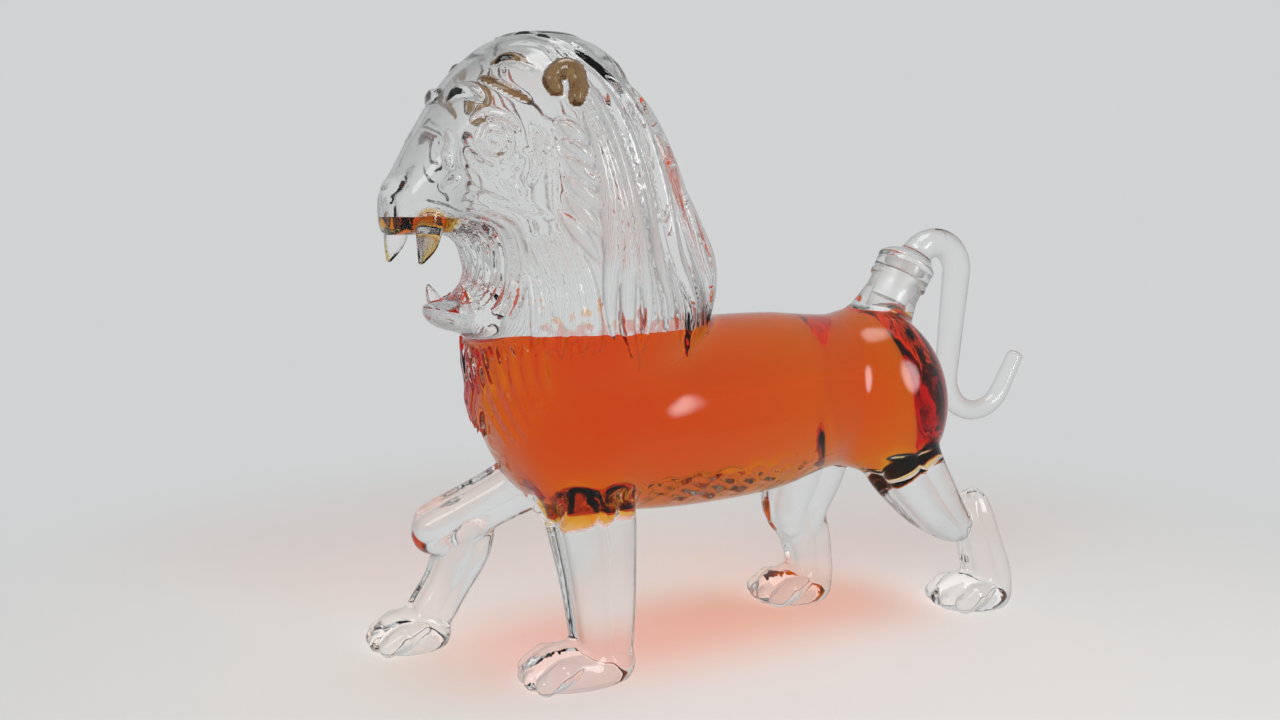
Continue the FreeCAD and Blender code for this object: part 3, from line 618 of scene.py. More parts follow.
def glass_field(block, strokes):
    """The outside of the decanter's glass in a block of space."""
    x, y, z = block.x, block.y, block.z
    field = body_base(x, y, z, block.grain)
    hx, hy = to_head(x, y)
    if block.low[2] + block.grain * block.counts[2] > 90 and block.low[0] < 0:
        head = levelled(head_base(hx, hy, z), block.grain)
        field = melt(field, head, NECK_MELT)
        nose = np.sqrt(((hx + 153) / 4.4) ** 2 + (hy / 6) ** 2 + ((z - 188.6) / 4.4) ** 2) - 1
        field = melt(field, 4.4 * nose, 3)
        field = melt(field, lay_strokes(block, strokes), 0.9)
    for stations, flat in LEG_RODS:
        reach = stations[:, 3].max() + 8
        window = block.window(stations[:, :3].min(0) - reach, stations[:, :3].max(0) + reach)
        if window:
            rod = rod_field(*block.at(window), stations * (1, 1, 1, FLUTED_CORE), flat)
            for number in range(FLUTES):
                rod = melt(rod, rod_field(*block.at(window), fluted(stations[::2], number), flat), 1.5)
            field[window] = melt(field[window], rod, 2)
    for heel_x, heel_y, long in PAWS:
        low = (heel_x - long - 8, heel_y - 26, -6)
        high = (heel_x + long / 2 + 8, heel_y + 26, 26)
        window = block.window(low, high)
        if window:
            paw = paw_field(*block.at(window), heel_x, heel_y, long)
            field[window] = melt(field[window], paw, 2.5)
    window = block.window((45, -24, 100), (115, 24, 175))
    if window:
        field[window] = melt(field[window], neck_foot(*block.at(window)), 3)
    return np.maximum(field, -z)


# Lobes of the hollow at the tops of the near legs, as (x, y, z) and half sizes
LOBES = (
    ((-94, -16, 69), (5.2, 18, 8.6)), ((-85, -17, 67.5), (5, 22, 8.6)), ((-76.5, -17, 68), (5, 22, 8.6)),
    ((-68.5, -17, 69), (4.8, 18, 8)),
    ((62, -17, 72), (5, 6, 5)), ((71, -20, 71), (5, 6, 6)), ((80, -20, 73), (5, 6, 5)))


def belly_wave(x, y, z):
    """How much thicker the wall gets towards the bottom of the belly, in waves."""
    low = np.clip((77 - z) / 8, 0, 1)
    wave = 5.6 + 1.3 * np.sin(0.6 * x + 1.3 * np.sin(0.21 * x)) + 1.1 * np.sin(1.05 * x + 0.5 * y)
    return low * wave


def hollow_field(block, wall):
    """The space inside the decanter, a wall's thickness below the skin without its tooling."""
    x, y, z = block.x, block.y, block.z
    field = body_base(x, y, z, block.grain)
    hx, hy = to_head(x, y)
    head = melt(mane_field(hx, hy, z), muzzle_field(hx, hy, z), FACE_MELT)
    field = melt(field, levelled(head, block.grain), NECK_MELT) + wall + belly_wave(x, y, z)
    for middle, half in LOBES:
        window = block.window(np.subtract(middle, half) - 6, np.add(middle, half) + 6)
        if window:
            field[window] = melt(field[window], ball_field(*block.at(window), middle, half), 3)
    field = carve(field, mouth_field(hx, z, MOUTH_RADIUS + wall) + 0 * hy, 2)
    along, away = about_neck(x, y, z)
    bore = np.maximum(away - 9.4 - 0.05 * along, along - 6)
    return np.minimum(field, np.maximum(bore, -30 - along))


# Meshes

def skin(values, block, rounds=8):
    """Corners and quads of the surface where a field is zero."""
    grid = openvdb.FloatGrid(3 * block.grain)
    grid.copyFromArray(np.ascontiguousarray(values, np.float32))
    points, quads = grid.convertToQuads(0.0)
    points = np.asarray(points, np.float64) * block.grain + block.low
    quads = np.asarray(quads, np.int64)
    a, b, c = points[quads[:, 0]], points[quads[:, 1]], points[quads[:, 2]]
    if np.einsum("ij,ij->i", np.cross(b - a, c - a), a - points.mean(0)).sum() < 0:
        quads = quads[:, ::-1]
    points = settled(relaxed(points, quads, rounds), values, block)
    return relaxed(points, quads, 1), quads


def sampled(values, spots):
    """Values of a grid between its corners, for places counted in grid steps."""
    last = np.array(values.shape) - 2
    corner = np.clip(np.floor(spots).astype(int), 0, last)
    x, y, z = np.clip(spots - corner, 0, 1).T
    i, j, k = corner.T
    low = (values[i, j, k] * (1 - x) + values[i + 1, j, k] * x) * (1 - y)
    low = low + (values[i, j + 1, k] * (1 - x) + values[i + 1, j + 1, k] * x) * y
    high = (values[i, j, k + 1] * (1 - x) + values[i + 1, j, k + 1] * x) * (1 - y)
    high = high + (values[i, j + 1, k + 1] * (1 - x) + values[i + 1, j + 1, k + 1] * x) * y
    return low * (1 - z) + high * z


def settled(points, values, block):
    """Points moved onto the surface where a field is zero."""
    spots = (points - block.low) / block.grain
    for _ in range(2):
        here = sampled(values, spots)
        slope = np.stack([sampled(values, spots + step) - sampled(values, spots - step)
                          for step in 0.5 * np.eye(3)], 1)
        steep = np.maximum((slope ** 2).sum(1), 0.05 * block.grain ** 2)
        move = np.clip(here / steep, -1 / block.grain, 1 / block.grain)
        spots = spots - move[:, None] * slope
    return spots * block.grain + block.low


def relaxed(points, quads, rounds):
    """Points drawn towards their neighbours and back out, which takes off the grid's grain."""
    ends = np.concatenate([quads, np.roll(quads, -1, 1)]).ravel()
    others = np.concatenate([np.roll(quads, -1, 1), quads]).ravel()
    count = np.bincount(ends, minlength=len(points))[:, None]
    for _ in range(rounds):
        for share in (0.5, -0.52):
            total = np.stack([np.bincount(ends, points[others, i], len(points)) for i in range(3)], 1)
            points = points + share * (total / count - points)
    return points


def into_bmesh(bm, points, quads, inward=False):
    """Adds a surface to a bmesh, in metres, turned inside out for an inner wall."""
    mesh = bpy.data.meshes.new("surface")
    faces = quads[:, ::-1] if inward else quads
    mesh.from_pydata((points * MM).tolist(), [], faces.tolist())
    bm.from_mesh(mesh)
    bpy.data.meshes.remove(mesh)


def cut_off(bm, point, normal, slot):
    """Takes off what lies beyond a plane and closes the cut with faces of a material slot."""
    geometry = bm.verts[:] + bm.edges[:] + bm.faces[:]
    bmesh.ops.bisect_plane(bm, geom=geometry, dist=1e-7, plane_co=Vector(point) * MM,
                           plane_no=Vector(normal), clear_outer=True)
    rim = [edge for edge in bm.edges if edge.is_boundary]
    if not rim:
        return
    made = bmesh.ops.triangle_fill(bm, use_beauty=True, edges=rim, normal=Vector(normal))
    for item in made["geom"]:
        if isinstance(item, bmesh.types.BMFace):
            item.material_index = slot
            item.smooth = False
    for edge in rim:
        edge.smooth = False


def keep_main(bm):
    """Takes off crumbs that a cut left loose."""
    seen = set()
    groups = []
    for start in bm.verts:
        if start in seen:
            continue
        stack, group = [start], []
        seen.add(start)
        while stack:
            vert = stack.pop()
            group.append(vert)
            for edge in vert.link_edges:
                other = edge.other_vert(vert)
                if other not in seen:
                    seen.add(other)
                    stack.append(other)
        groups.append(group)
    largest = max(len(group) for group in groups)
    crumbs = [vert for group in groups if len(group) < 0.02 * largest for vert in group]
    bmesh.ops.delete(bm, geom=crumbs, context="VERTS")


def as_piece(name, bm, materials, body, nodes):
    """A finished piece at the origin that rides on a body and stands for CAD nodes."""
    mesh = bpy.data.meshes.new(name)
    bm.to_mesh(mesh)
    bm.free()
    return mesh_piece(name, mesh, materials, body, nodes)


def mesh_piece(name, mesh, materials, body, nodes):
    """An object for a mesh, with its materials, body and CAD nodes."""
    for material in materials:
        mesh.materials.append(bpy.data.materials[material])
    piece = bpy.data.objects.new(name, mesh)
    bpy.context.scene.collection.objects.link(piece)
    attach(piece, body)
    if nodes:
        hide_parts(*nodes)
    return piece


# Material slots of the hollow glass after its clear one; the last holds the painted glint, a brown-gold
# tint in place of surroundings seen through the glass
WELD, WETTED, PAINTED_GLINT = 1, 2, 3
# The plane that ends the lip's pool, and a level between that pool and the filling, in metres
LIP_END = ((-134, -8, 176), (0.978, 0.208, 0))
LIP_FLOOR = 0.16
# How far the liquor reaches into the glass, so that no air lies between them
LIQUOR_SKIN = 0.25


def smoothed(bm):
    """Shades all faces smooth."""
    for face in bm.faces:
        face.smooth = True


def glass_piece(context, name, low, high, grain, cuts, nodes, hollow=False, rounds=4, painted_glints=()):
    """A piece of the decanter's glass between cuts, each a point and the normal of what goes."""
    block = Block(low, high, grain / MM)
    values = glass_field(block, scene_strokes())
    bm = bmesh.new()
    into_bmesh(bm, *skin(values, block, rounds))
    painted_glint_spots(bm, painted_glints)
    if hollow:
        inner_wall(context, bm)
    smoothed(bm)
    for point, normal in cuts:
        cut_off(bm, point, normal, WELD)
    keep_main(bm)
    materials = ["Clear glass", "Weld"]
    if hollow:
        materials += ["Wetted glass", "Painted glint glass"]
    return as_piece(name, bm, materials, "decanter", nodes)


def inner_wall(context, bm):
    """Adds the inner wall, whose faces below the liquor are wetted."""
    shape = context.scene.lion_shape
    wall = bmesh.new()
    into_bmesh(wall, *hollow_surface(context), inward=True)
    for level in (shape.liquor_level, shape.lip_level):
        bmesh.ops.bisect_plane(wall, geom=wall.verts[:] + wall.edges[:] + wall.faces[:], dist=1e-7,
                               plane_co=(0, 0, level), plane_no=(0, 0, 1))
    for face in wall.faces:
        middle = face.calc_center_median()
        ahead = (middle / MM - Vector(LIP_END[0])).dot(LIP_END[1]) < 0
        in_lip = ahead and LIP_FLOOR < middle.z < shape.lip_level
        face.material_index = WETTED if middle.z < shape.liquor_level or in_lip else 0
    mesh = bpy.data.meshes.new("wall")
    wall.to_mesh(mesh)
    wall.free()
    bm.from_mesh(mesh)
    bpy.data.meshes.remove(mesh)


def painted_glint_spots(bm, strokes):
    """Gives the faces on some strokes the painted glint: glass tinted brown-gold in place of the
    surroundings seen through it.
    """
    if not len(strokes):
        return
    bm.faces.ensure_lookup_table()
    middles = np.array([face.calc_center_median() for face in bm.faces]) / MM
    for stations in strokes:
        near = rod_field(*middles.T, stations) < 0.5
        for number in np.nonzero(near)[0]:
            bm.faces[int(number)].material_index = PAINTED_GLINT


CACHE = {}


def painted_glint_strokes():
    """The strokes of the head whose glass gets the painted glint, a brown-gold tint."""
    strokes = traced(EAR_HOOK, 3.5, -0.45, 0.75) + traced(PAINTED_GLINT_STRAND, 1.1, 0, 0.3)
    strokes += traced(CROWN_PATCH, 1.9, 0.1, 0.4)
    return strokes


def scene_strokes():
    """The strokes of the mane and the face, worked out once."""
    if "strokes" not in CACHE:
        CACHE["strokes"] = tooling()
    return CACHE["strokes"]


def hollow_surface(context):
    """The surface of the space inside the decanter, worked out once."""
    if "hollow" not in CACHE:
        shape = context.scene.lion_shape
        block = Block((-156, -46, 54), (106, 46, 250), shape.hollow_grain / MM)
        CACHE["hollow_values"] = hollow_field(block, shape.wall / MM)
        CACHE["hollow_block"] = block
        CACHE["hollow"] = skin(CACHE["hollow_values"], block)
    return CACHE["hollow"]


# Planes between pieces, as a point and the normal towards the second piece
HEAD_PLANE = ((-65, 0, 129), (0.2272, 0, -0.9738))
LEG_PLANE = ((0, 0, 56), (0, 0, -1))
ARM_PLANE = ((-98.6, 26.4, 63), (-0.857, 0.226, -0.463))
KNEE_PLANE = ((-120, 33, 46), (0.35, 0, -0.936))
HOCK_PLANE = ((106, -20, 42), (0.989, 0, 0.148))
FAR_HOCK_PLANE = ((44, 21, 36), (0.1, 0, -0.995))
NECK_PLANE = (tuple(RIM - 11 * NECK_AXIS), tuple(NECK_AXIS))
PAW_SLOPE = (-0.45, 0, -0.893)


def paw_plane(heel_x, heel_y):
    """The plane between a leg and its paw."""
    return (heel_x, heel_y, 13.5), PAW_SLOPE


def other_side(plane):
    """The same plane with the other side taken off."""
    return plane[0], tuple(-part for part in plane[1])


# Neck, stopper and tail

# TAIL_CUT is the station where the collar's glass ends and the rod begins
TAIL_ROOT = 7
TAIL_TIP = 3.75
TAIL_CUT = 13
COLLAR_RADIUS = 13
COLLAR_EDGE = 1.2


def tail_path():
    """Points along the tail's middle line, from the collar over the top and round the hook."""
    over = np.radians(np.linspace(143.9, -4.9, 34))
    points = [(102 + 13 * math.cos(angle), 154 + 13 * math.sin(angle)) for angle in over]
    points += [(114.95 - 4.05 * share, 152.9 - 46.8 * share) for share in np.linspace(0.04, 0.96, 16)]
    hook = np.radians(np.linspace(175.1, 332.1, 30))
    points += [(128.4 + 17.5 * math.cos(angle), 104.6 + 17.5 * math.sin(angle)) for angle in hook]
    points += [(143.87 + 7.96 * share, 96.4 + 15 * share) for share in np.linspace(0.12, 1.2, 8)]
    return np.array([(x, 0, z) for x, z in points])


def tail_stations():
    """The tail's path with the radius of the drawn rod."""
    path = tail_path()
    run = np.concatenate([[0], np.cumsum(np.linalg.norm(np.diff(path, axis=0), axis=1))])
    return np.column_stack([path, TAIL_ROOT + (TAIL_TIP - TAIL_ROOT) * run / run[-1]])


def collar_field(block):
    """The domed collar with the tail's root melted on."""
    along, away = about_neck(block.x, block.y, block.z)
    side = away - COLLAR_RADIUS + COLLAR_EDGE
    level = np.maximum(0.4 - along, along - 8) + COLLAR_EDGE
    out = np.sqrt(np.maximum(side, 0) ** 2 + np.maximum(level, 0) ** 2)
    band = out + np.minimum(np.maximum(side, level), 0) - COLLAR_EDGE
    dome = (np.sqrt((away / (COLLAR_RADIUS - 0.2)) ** 2 + ((along - 7) / 6) ** 2) - 1) * 6
    dome = np.maximum(dome, 6.5 - along)
    field = melt(band, dome, 1.2)
    field = melt(field, rod_field(block.x, block.y, block.z, tail_stations()[:TAIL_CUT + 6]), 4)
    hole = np.maximum(away - 9.44 - 0.05 * along, along - 6.06)
    return np.maximum(field, -hole)


def turned(profile, sides=96):
    """Corners and quads of a closed profile of (radius, height) turned about the neck's axis."""
    out = np.array([NECK_AXIS[2], 0, -NECK_AXIS[0]])
    across = np.array([0, 1, 0])
    turns = np.linspace(0, 2 * math.pi, sides, endpoint=False)
    points = []
    for radius, height in profile:
        for turn in turns:
            spoke = math.cos(turn) * out + math.sin(turn) * across
            points.append(RIM + height * NECK_AXIS + radius * spoke)
    quads = []
    rows = len(profile)
    for row in range(rows):
        here, after = row * sides, (row + 1) % rows * sides
        for side in range(sides):
            beside = (side + 1) % sides
            quads.append((here + side, here + beside, after + beside, after + side))
    return np.array(points), np.array(quads)


def turned_bmesh(profile):
    """A bmesh of a turned profile, smooth but for its sharp corners, with outward faces."""
    bm = bmesh.new()
    into_bmesh(bm, *turned(profile))
    bmesh.ops.remove_doubles(bm, verts=bm.verts[:], dist=1e-7)
    bmesh.ops.dissolve_degenerate(bm, edges=bm.edges[:], dist=1e-8)
    bmesh.ops.recalc_face_normals(bm, faces=bm.faces[:])
    smoothed(bm)
    for edge in bm.edges:
        if len(edge.link_faces) == 2 and edge.calc_face_angle() > math.radians(38):
            edge.smooth = False
    return bm


def socket(tree, name, kind, default, low=0.0):
    """A named input of a node group."""
    made = tree.interface.new_socket(name=name, in_out="INPUT", socket_type=kind)
    if default is not None:
        made.default_value = default
        if kind == "NodeSocketFloat":
            made.min_value = low
    return made


def put(tree, kind, inputs=None, **settings):
    """A new node with its settings, and its inputs set to values or linked to other outputs."""
    node = tree.nodes.new(kind)
    for name, value in settings.items():
        setattr(node, name, value)
    for name, value in (inputs or {}).items():
        if isinstance(value, bpy.types.NodeSocket):
            tree.links.new(value, node.inputs[name])
        else:
            node.inputs[name].default_value = value
    return node


def calc(tree, operation, *values):
    """The output of a math node for values or other outputs."""
    return put(tree, "ShaderNodeMath", dict(enumerate(values)), operation=operation).outputs["Value"]


def rod_tree():
    """Geometry nodes that draw a tapering round rod along a chain of edges."""
    tree = bpy.data.node_groups.new("Drawn rod", "GeometryNodeTree")
    socket(tree, "Geometry", "NodeSocketGeometry", None)
    socket(tree, "Root radius", "NodeSocketFloat", 0.007)
    socket(tree, "Tip radius", "NodeSocketFloat", 0.00375)
    socket(tree, "Tip share", "NodeSocketFloat", 0.02)
    socket(tree, "Rings", "NodeSocketInt", 150)
    socket(tree, "Sides", "NodeSocketInt", 48)
    socket(tree, "Material", "NodeSocketMaterial", None)
    tree.interface.new_socket(name="Geometry", in_out="OUTPUT", socket_type="NodeSocketGeometry")
    entry = put(tree, "NodeGroupInput")
    chain = put(tree, "GeometryNodeMeshToCurve", {"Mesh": entry.outputs["Geometry"]})
    evened = put(tree, "GeometryNodeResampleCurve", {
        "Curve": chain.outputs["Curve"], "Count": entry.outputs["Rings"]})
    spot = put(tree, "GeometryNodeSplineParameter").outputs["Factor"]
    taper = put(tree, "ShaderNodeMapRange", {
        "Value": spot, "To Min": entry.outputs["Root radius"], "To Max": entry.outputs["Tip radius"]})
    start = calc(tree, "SUBTRACT", 1, entry.outputs["Tip share"])
    cap = put(tree, "ShaderNodeMapRange", {"Value": spot, "From Min": start}).outputs["Result"]
    rest = calc(tree, "SUBTRACT", 1.0002, calc(tree, "MULTIPLY", cap, cap))
    size = calc(tree, "MULTIPLY", taper.outputs["Result"], calc(tree, "SQRT", rest))
    ring = put(tree, "GeometryNodeCurvePrimitiveCircle", {
        "Resolution": entry.outputs["Sides"], "Radius": 1})
    body = put(tree, "GeometryNodeCurveToMesh", {
        "Curve": evened.outputs["Curve"], "Profile Curve": ring.outputs["Curve"], "Scale": size,
        "Fill Caps": True})
    smooth = put(tree, "GeometryNodeSetShadeSmooth", {"Geometry": body.outputs["Mesh"]})
    whole = put(tree, "GeometryNodeRealizeInstances", {"Geometry": smooth.outputs["Geometry"]})
    coat = put(tree, "GeometryNodeSetMaterial", {
        "Geometry": whole.outputs["Geometry"], "Material": entry.outputs["Material"]})
    put(tree, "NodeGroupOutput", {"Geometry": coat.outputs["Geometry"]})
    return tree


def grown(tree, points, settings):
    """The plain mesh that a node group makes from a chain of points in millimetres."""
    mesh = bpy.data.meshes.new("chain")
    edges = [(number, number + 1) for number in range(len(points) - 1)]
    mesh.from_pydata((np.asarray(points) * MM).tolist(), edges, [])
    holder = bpy.data.objects.new("chain", mesh)
    bpy.context.scene.collection.objects.link(holder)
    modifier = holder.modifiers.new("Growth", "NODES")
    modifier.node_group = tree
    for item in tree.interface.items_tree:
        if item.item_type == "SOCKET" and item.in_out == "INPUT" and item.name in settings:
            modifier[item.identifier] = settings[item.name]
    made = bpy.data.meshes.new_from_object(holder.evaluated_get(bpy.context.evaluated_depsgraph_get()))
    holder.modifiers.remove(modifier)
    bpy.data.objects.remove(holder)
    bpy.data.meshes.remove(mesh)
    made.materials.clear()
    return made


# Materials

# How much of its tint glass keeps where it turns away from the view, a painted shade that darkens edges in
# place of dark surroundings seen through them; how narrow that edge is, how strongly glass mirrors, and how
# far its tint changes
PAINTED_EDGE_SHADE = 0.01
EDGE_NARROW = 2
SHEEN_LEVEL = (0.55, 0.55, 0.55, 1)
TINT_CHANGE = 0.985
# How nearly level a face of the liquor is to meet air, not glass
OPEN_TOP = 0.9999


def nodes_of(name):
    """A new material's node tree, emptied, with its output."""
    material = bpy.data.materials.new(name)
    material.use_nodes = True
    tree = material.node_tree
    tree.nodes.clear()
    return tree, tree.nodes.new("ShaderNodeOutputMaterial")


def shaded(colour, share):
    """A colour with an alpha, darkened to a share."""
    return (*(share * part for part in colour), 1)


def glass(name, colour, ior, roughness=0, wave=0.035, grain_scale=900, grain=0.01, edge=PAINTED_EDGE_SHADE):
    """Glass with drawn-out waves, a fine grain, a slight change of tint and painted shade on edges that
    turn away from the view.
    """
    tree, out = nodes_of(name)
    place = put(tree, "ShaderNodeTexCoord").outputs["Object"]
    drawn = put(tree, "ShaderNodeTexNoise", {"Vector": place, "Scale": 38, "Detail": 2}).outputs["Fac"]
    fine = put(tree, "ShaderNodeTexNoise", {"Vector": place, "Scale": grain_scale, "Detail": 3})
    tint = put(tree, "ShaderNodeMix", {
        "Factor": drawn, "A": shaded(colour, 1), "B": shaded(colour, TINT_CHANGE)}, data_type="RGBA")
    # Painted shade: the tint darkens where the surface turns away from the view
    facing = put(tree, "ShaderNodeLayerWeight").outputs["Facing"]
    rim = put(tree, "ShaderNodeMix", {
        "Factor": calc(tree, "POWER", facing, EDGE_NARROW), "A": tint.outputs["Result"],
        "B": shaded(colour, edge)}, data_type="RGBA")
    bump = put(tree, "ShaderNodeBump", {"Strength": wave, "Distance": 0.002, "Height": drawn})
    grain_bump = put(tree, "ShaderNodeBump", {
        "Strength": grain, "Distance": 0.0004, "Height": fine.outputs["Fac"],
        "Normal": bump.outputs["Normal"]})
    shader = put(tree, "ShaderNodeBsdfPrincipled", {
        "Base Color": rim.outputs["Result"], "Roughness": roughness, "IOR": ior,
        "Specular Tint": SHEEN_LEVEL, "Transmission Weight": 1, "Normal": grain_bump.outputs["Normal"]})
    let_lamps_through(tree, shader, out)


def let_lamps_through(tree, shader, out):
    """Lets shadow rays pass, so that the lamps light what is inside and behind."""
    path = put(tree, "ShaderNodeLightPath")
    clear = put(tree, "ShaderNodeBsdfTransparent")
    mix = put(tree, "ShaderNodeMixShader", {
        "Fac": path.outputs["Is Shadow Ray"], 1: shader.outputs["BSDF"], 2: clear.outputs["BSDF"]})
    tree.links.new(mix.outputs["Shader"], out.inputs["Surface"])


def weld():
    """The unseen join inside fused glass."""
    tree, out = nodes_of("Weld")
    clear = tree.nodes.new("ShaderNodeBsdfTransparent")
    tree.links.new(clear.outputs["BSDF"], out.inputs["Surface"])


def liquor(finish, name, strength):
    """Amber liquor that deepens with its thickness, meets glass at its sides and air at its top."""
    tree, out = nodes_of(name)
    place = put(tree, "ShaderNodeTexCoord").outputs["Object"]
    ripple = put(tree, "ShaderNodeTexNoise", {"Vector": place, "Scale": 30})
    bump = put(tree, "ShaderNodeBump", {
        "Strength": 0.02, "Distance": 0.002, "Height": ripple.outputs["Fac"]})
    facing = put(tree, "ShaderNodeNewGeometry").outputs["True Normal"]
    upright = put(tree, "ShaderNodeSeparateXYZ", {"Vector": facing}).outputs["Z"]
    open_top = calc(tree, "GREATER_THAN", calc(tree, "ABSOLUTE", upright), OPEN_TOP)
    bend = put(tree, "ShaderNodeMapRange", {
        "Value": open_top, "To Min": finish.liquor_ior / finish.glass_ior, "To Max": finish.liquor_ior})
    shader = put(tree, "ShaderNodeBsdfPrincipled", {
        "Base Color": (1, 0.97, 0.93, 1), "Roughness": 0, "IOR": bend.outputs["Result"],
        "Transmission Weight": 1, "Normal": bump.outputs["Normal"]})
    depth = put(tree, "ShaderNodeVolumeAbsorption", {
        "Color": (*finish.liquor_tint, 1), "Density": strength * finish.liquor_depth})
    tree.links.new(depth.outputs["Volume"], out.inputs["Volume"])
    let_lamps_through(tree, shader, out)


class LION_OT_materials(bpy.types.Operator):
    """Makes the clear, ground and wetted glass, the glass with the painted glint, the weld and the liquor.
    """

    bl_idname = "lion.materials"
    bl_label = "Glass and liquor"

    def execute(self, context):
        finish = context.scene.lion_finish
        glass("Clear glass", finish.glass_tint, finish.glass_ior)
        glass("Ground glass", finish.glass_tint, finish.glass_ior, roughness=0.34, wave=0.02,
              grain_scale=2600, grain=0.25)
        # Wetted glass bends no light, because the liquor's skin does
        glass("Wetted glass", finish.glass_tint, 1, wave=0, grain=0, edge=1)
        # Painted glint: brown-gold glass in place of the surroundings seen through the ears and strands
        glass("Painted glint glass", finish.painted_glint_tint, finish.glass_ior)
        weld()
        liquor(finish, "Liquor", 1)
        liquor(finish, "Lip liquor", 2.4)
        return {"FINISHED"}


class LION_OT_head(bpy.types.Operator):
    """Blows the hollow head and tools its mane and face."""

    bl_idname = "lion.head"
    bl_label = "Head and mane"

    def execute(self, context):
        shape = context.scene.lion_shape
        nodes = [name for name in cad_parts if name.startswith(("mane_lock", "ear_", "eye_"))]
        nodes += ["head_shell", "lower_jaw", "nose_tip"]
        nodes += [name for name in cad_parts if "_fang_" in name]
        glass_piece(context, "head_glass", (-162, -54, 104), (-6, 54, 252), shape.head_grain,
                    [HEAD_PLANE], nodes, hollow=True, rounds=1, painted_glints=painted_glint_strokes())
        return {"FINISHED"}


class LION_OT_torso(bpy.types.Operator):
    """Blows the hollow body."""

    bl_idname = "lion.torso"
    bl_label = "Body"

    def execute(self, context):
        shape = context.scene.lion_shape
        cuts = [other_side(HEAD_PLANE), LEG_PLANE, ARM_PLANE, NECK_PLANE]
        glass_piece(context, "torso_glass", (-122, -50, 50), (112, 50, 162), shape.body_grain, cuts,
                    ["torso_shell"], hollow=True)
        return {"FINISHED"}


class LION_OT_legs(bpy.types.Operator):
    """Draws the legs and tools the paws."""

    bl_idname = "lion.legs"
    bl_label = "Legs and paws"

    def execute(self, context):
        grain = context.scene.lion_shape.leg_grain
        near, far, near_hind, far_hind = [paw_plane(x, y) for x, y, _ in PAWS]
        legs = (
            ("front_left_leg", (-104, -54, 0), (-50, -2, 60), [other_side(LEG_PLANE), near]),
            ("front_right_upper_leg", (-146, 10, 28), (-84, 54, 84), [other_side(ARM_PLANE), KNEE_PLANE]),
            ("front_right_lower_leg", (-150, 12, 0), (-92, 54, 62), [other_side(KNEE_PLANE), far]),
            ("hind_left_thigh", (44, -48, 24), (122, 4, 60), [other_side(LEG_PLANE), HOCK_PLANE]),
            ("hind_left_hock", (92, -48, 0), (142, 4, 62), [other_side(HOCK_PLANE), near_hind]),
            ("hind_right_thigh", (16, -2, 24), (76, 48, 60), [other_side(LEG_PLANE), FAR_HOCK_PLANE]),
            ("hind_right_hock", (22, -2, 0), (76, 48, 50), [other_side(FAR_HOCK_PLANE), far_hind]),
        )
        for name, low, high, cuts in legs:
            glass_piece(context, f"{name}_glass", low, high, grain, cuts, [name])
        paws = ("front_left_paw", "front_right_paw", "hind_left_paw", "hind_right_paw")
        for name, (heel_x, heel_y, long) in zip(paws, PAWS):
            low = (heel_x - long - 4, heel_y - 24, -4)
            high = (heel_x + 24, heel_y + 24, 34)
            glass_piece(context, f"{name}_glass", low, high, 0.8 * grain,
                        [other_side(paw_plane(heel_x, heel_y))], [name], rounds=2)
        return {"FINISHED"}


# The neck's faces below the first height are welded, and those within the radius are ground
NECK_WELD = -10.9
SOCKET_RADIUS = 9.45


class LION_OT_neck(bpy.types.Operator):
    """Turns the filling neck with its ground socket."""

    bl_idname = "lion.neck"
    bl_label = "Filling neck"

    def execute(self, context):
        profile = [(8.85, -11), (9.38, -0.4), (9.7, 0), (12.2, 0), (12.9, -0.35), (13.2, -1), (13.2, -2),
                   (12.9, -2.7), (12.3, -3.1), (12, -3.6), (12, -7.5), (12.09, -9), (12.53, -11)]
        bm = turned_bmesh(profile)
        rim = RIM * MM
        for face in bm.faces:
            height = (np.array(face.calc_center_median()) - rim) @ NECK_AXIS / MM
            away = np.linalg.norm(np.array(face.calc_center_median()) - rim - height * MM * NECK_AXIS) / MM
            if height < NECK_WELD:
                face.material_index = WELD
            elif away < SOCKET_RADIUS:
                face.material_index = 2
        as_piece("fill_neck_glass", bm, ("Clear glass", "Weld", "Ground glass"), "decanter",
                 ["fill_neck"])
        return {"FINISHED"}


class LION_OT_stopper(bpy.types.Operator):
    """Grinds the plug, gathers the collar and draws out the tail."""

    bl_idname = "lion.stopper"
    bl_label = "Stopper and tail"

    def execute(self, context):
        plug = [(0, -13), (8.2, -13), (8.62, -12.6), (9.6, 5.7), (9.3, 6), (0, 6)]
        as_piece("stopper_plug_glass", turned_bmesh(plug), ("Ground glass",), "plug",
                 ["stopper_plug"])
        stations = tail_stations()
        block = Block((66, -18, 146), (112, 18, 178), 0.75 * context.scene.lion_shape.leg_grain / MM)
        bm = bmesh.new()
        into_bmesh(bm, *skin(collar_field(block), block))
        smoothed(bm)
        here = stations[TAIL_CUT, :3]
        ahead = stations[TAIL_CUT + 1, :3] - stations[TAIL_CUT - 1, :3]
        ahead = ahead / np.linalg.norm(ahead)
        cut_off(bm, here, ahead, WELD)
        keep_main(bm)
        as_piece("stopper_collar_glass", bm, ("Clear glass", "Weld"), "tail",
                 ["stopper_collar"])
        mesh = grown(rod_tree(), stations[TAIL_CUT:, :3], {
            "Root radius": float(stations[TAIL_CUT, 3]) * MM, "Tip radius": TAIL_TIP * MM,
            "Tip share": 0.024, "Rings": 190, "Sides": 56, "Material": bpy.data.materials["Clear glass"]})
        root = Vector(here) * MM
        for face in mesh.polygons:
            flat_root = len(face.vertices) > 8 and (face.center - root).length < 0.001
            face.material_index = WELD if flat_root else 0
        mesh_piece("tail_rod_glass", mesh, ("Clear glass", "Weld"), "tail", ["tail_rod"])
        return {"FINISHED"}


def pool(name, material, values, block, cuts, node):
    """A closed body of liquor in a hollow, on the near side of its cuts."""
    bm = bmesh.new()
    into_bmesh(bm, *skin(values - LIQUOR_SKIN, block))
    smoothed(bm)
    for point, normal in cuts:
        cut_off(bm, point, normal, 0)
    keep_main(bm)
    as_piece(name, bm, (material,), "decanter", [node])


